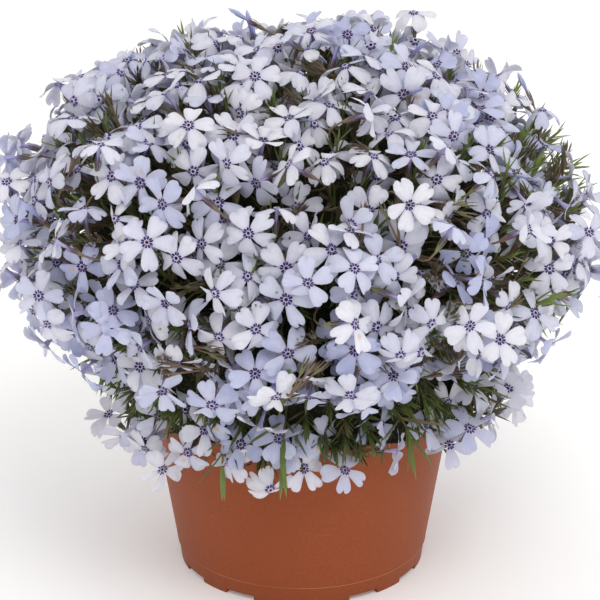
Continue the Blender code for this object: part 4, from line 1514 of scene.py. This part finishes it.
# %% [markdown]
# ## The shaded heart of the plant
#
# Behind the outer shoots a moss phlox is a dense thatch of old stems and dead needles, nearly black in
# the shade. Modelling every needle there would double the model for nothing, so a rough dark core fills
# it, and its near-black colour is painted shade. It follows the mantle 34 mm further in, and its own hem
# goes down outside the pot's rim. The thatch is dry and broken, so it scatters what little light
# reaches it and hardly shines.


# %% The core and its thatch
CORE_DEPTH = 34 * MM
CORE_SIDES = 72
CORE_RINGS = 26
RIM_CLEARANCE = 2.2 * MM
LIP = RIM_RADIUS + RIM_CLEARANCE
CORE_HEM_Z = 77 * MM


def core_profile():
    """Radius and height from above the soil, out and down round the rim, and up inside the mantle."""
    radius, height, out, lift = mantle_profile()
    underside = POT_HEIGHT + RIM_CLEARANCE
    profile = [(0.0, underside), (LIP, underside), (LIP, CORE_HEM_Z)]
    profile.append((LIP + 4 * MM, CORE_HEM_Z + 2 * MM))
    for step in np.linspace(0, len(radius) - 1, CORE_RINGS).astype(int)[:-1]:
        far = float(radius[step] - CORE_DEPTH * out[step])
        up = float(height[step] - CORE_DEPTH * lift[step])
        if far > LIP + 3 * MM and up > underside:
            profile.append((far, up))
    profile.append((0.0, float(height[-1] - CORE_DEPTH)))
    return profile


def thatch_and_painted_shade():
    made, tree, shader = start_material("old_thatch_and_painted_shade")
    place = add_node(tree, "ShaderNodeTexCoord", {}, "Object")
    # dead needles lie about 1.5 mm apart
    inputs = {"Vector": place, "Scale": 500.0, "Detail": 4.0, "Distortion": 2.0}
    strands = add_node(tree, NOISE, inputs, "Fac")
    lit = add_node(tree, RANGE, {0: strands, 1: 0.35, 2: 0.7}, 0)
    # painted shade: the thatch is coloured near black, darker than dead needles are, because it lies
    # deep in shade
    tone = add_node(tree, MIX, {0: lit, 6: "#1B1C13", 7: "#3B3B25"}, 2, data_type="RGBA")
    bump = add_node(tree, BUMP, {"Height": strands, "Strength": 1.0, "Distance": 2 * MM}, "Normal")
    fill(tree, shader, {"Roughness": 0.9, "Specular IOR Level": 0.2, "Base Color": tone, "Normal": bump})
    return made


core_mesh = turned_mesh("shaded_core", core_profile(), CORE_SIDES)
draw = np.random.default_rng(41)
# the thatch is uneven by 2 mm either way, except where it closes round the pot's rim
for vertex in core_mesh.vertices:
    if math.hypot(vertex.co.x, vertex.co.y) > LIP + 1 * MM or vertex.co.z > POT_HEIGHT + 6 * MM:
        around = (vertex.co - Vector((0, 0, MANTLE_CENTRE_Z))).normalized()
        vertex.co += around * draw.uniform(-2.0, 2.0) * MM
core = add_object("shaded_core", core_mesh)
core_mesh.materials.append(thatch_and_painted_shade())
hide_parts("foliage")
for piece in (core, leaves, stems):
    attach(piece, "root")
print("core faces:", len(core_mesh.polygons))

# %% [markdown]
# ## Last look at the sizes
#
# The dressed plant's box is printed at the end. The dressed plant must be no larger than its
# frame.

# %% Remove the shapes and print the plant's box
low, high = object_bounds()
for shapes in (FLOWER_SHAPES, CALYX_SHAPES, LEAF_SHAPES):
    for source in list(shapes.objects):
        bpy.data.objects.remove(source, do_unlink=True)
    bpy.data.collections.remove(shapes)
print("visual box", [round(x, 4) for x in (*low, *high)])
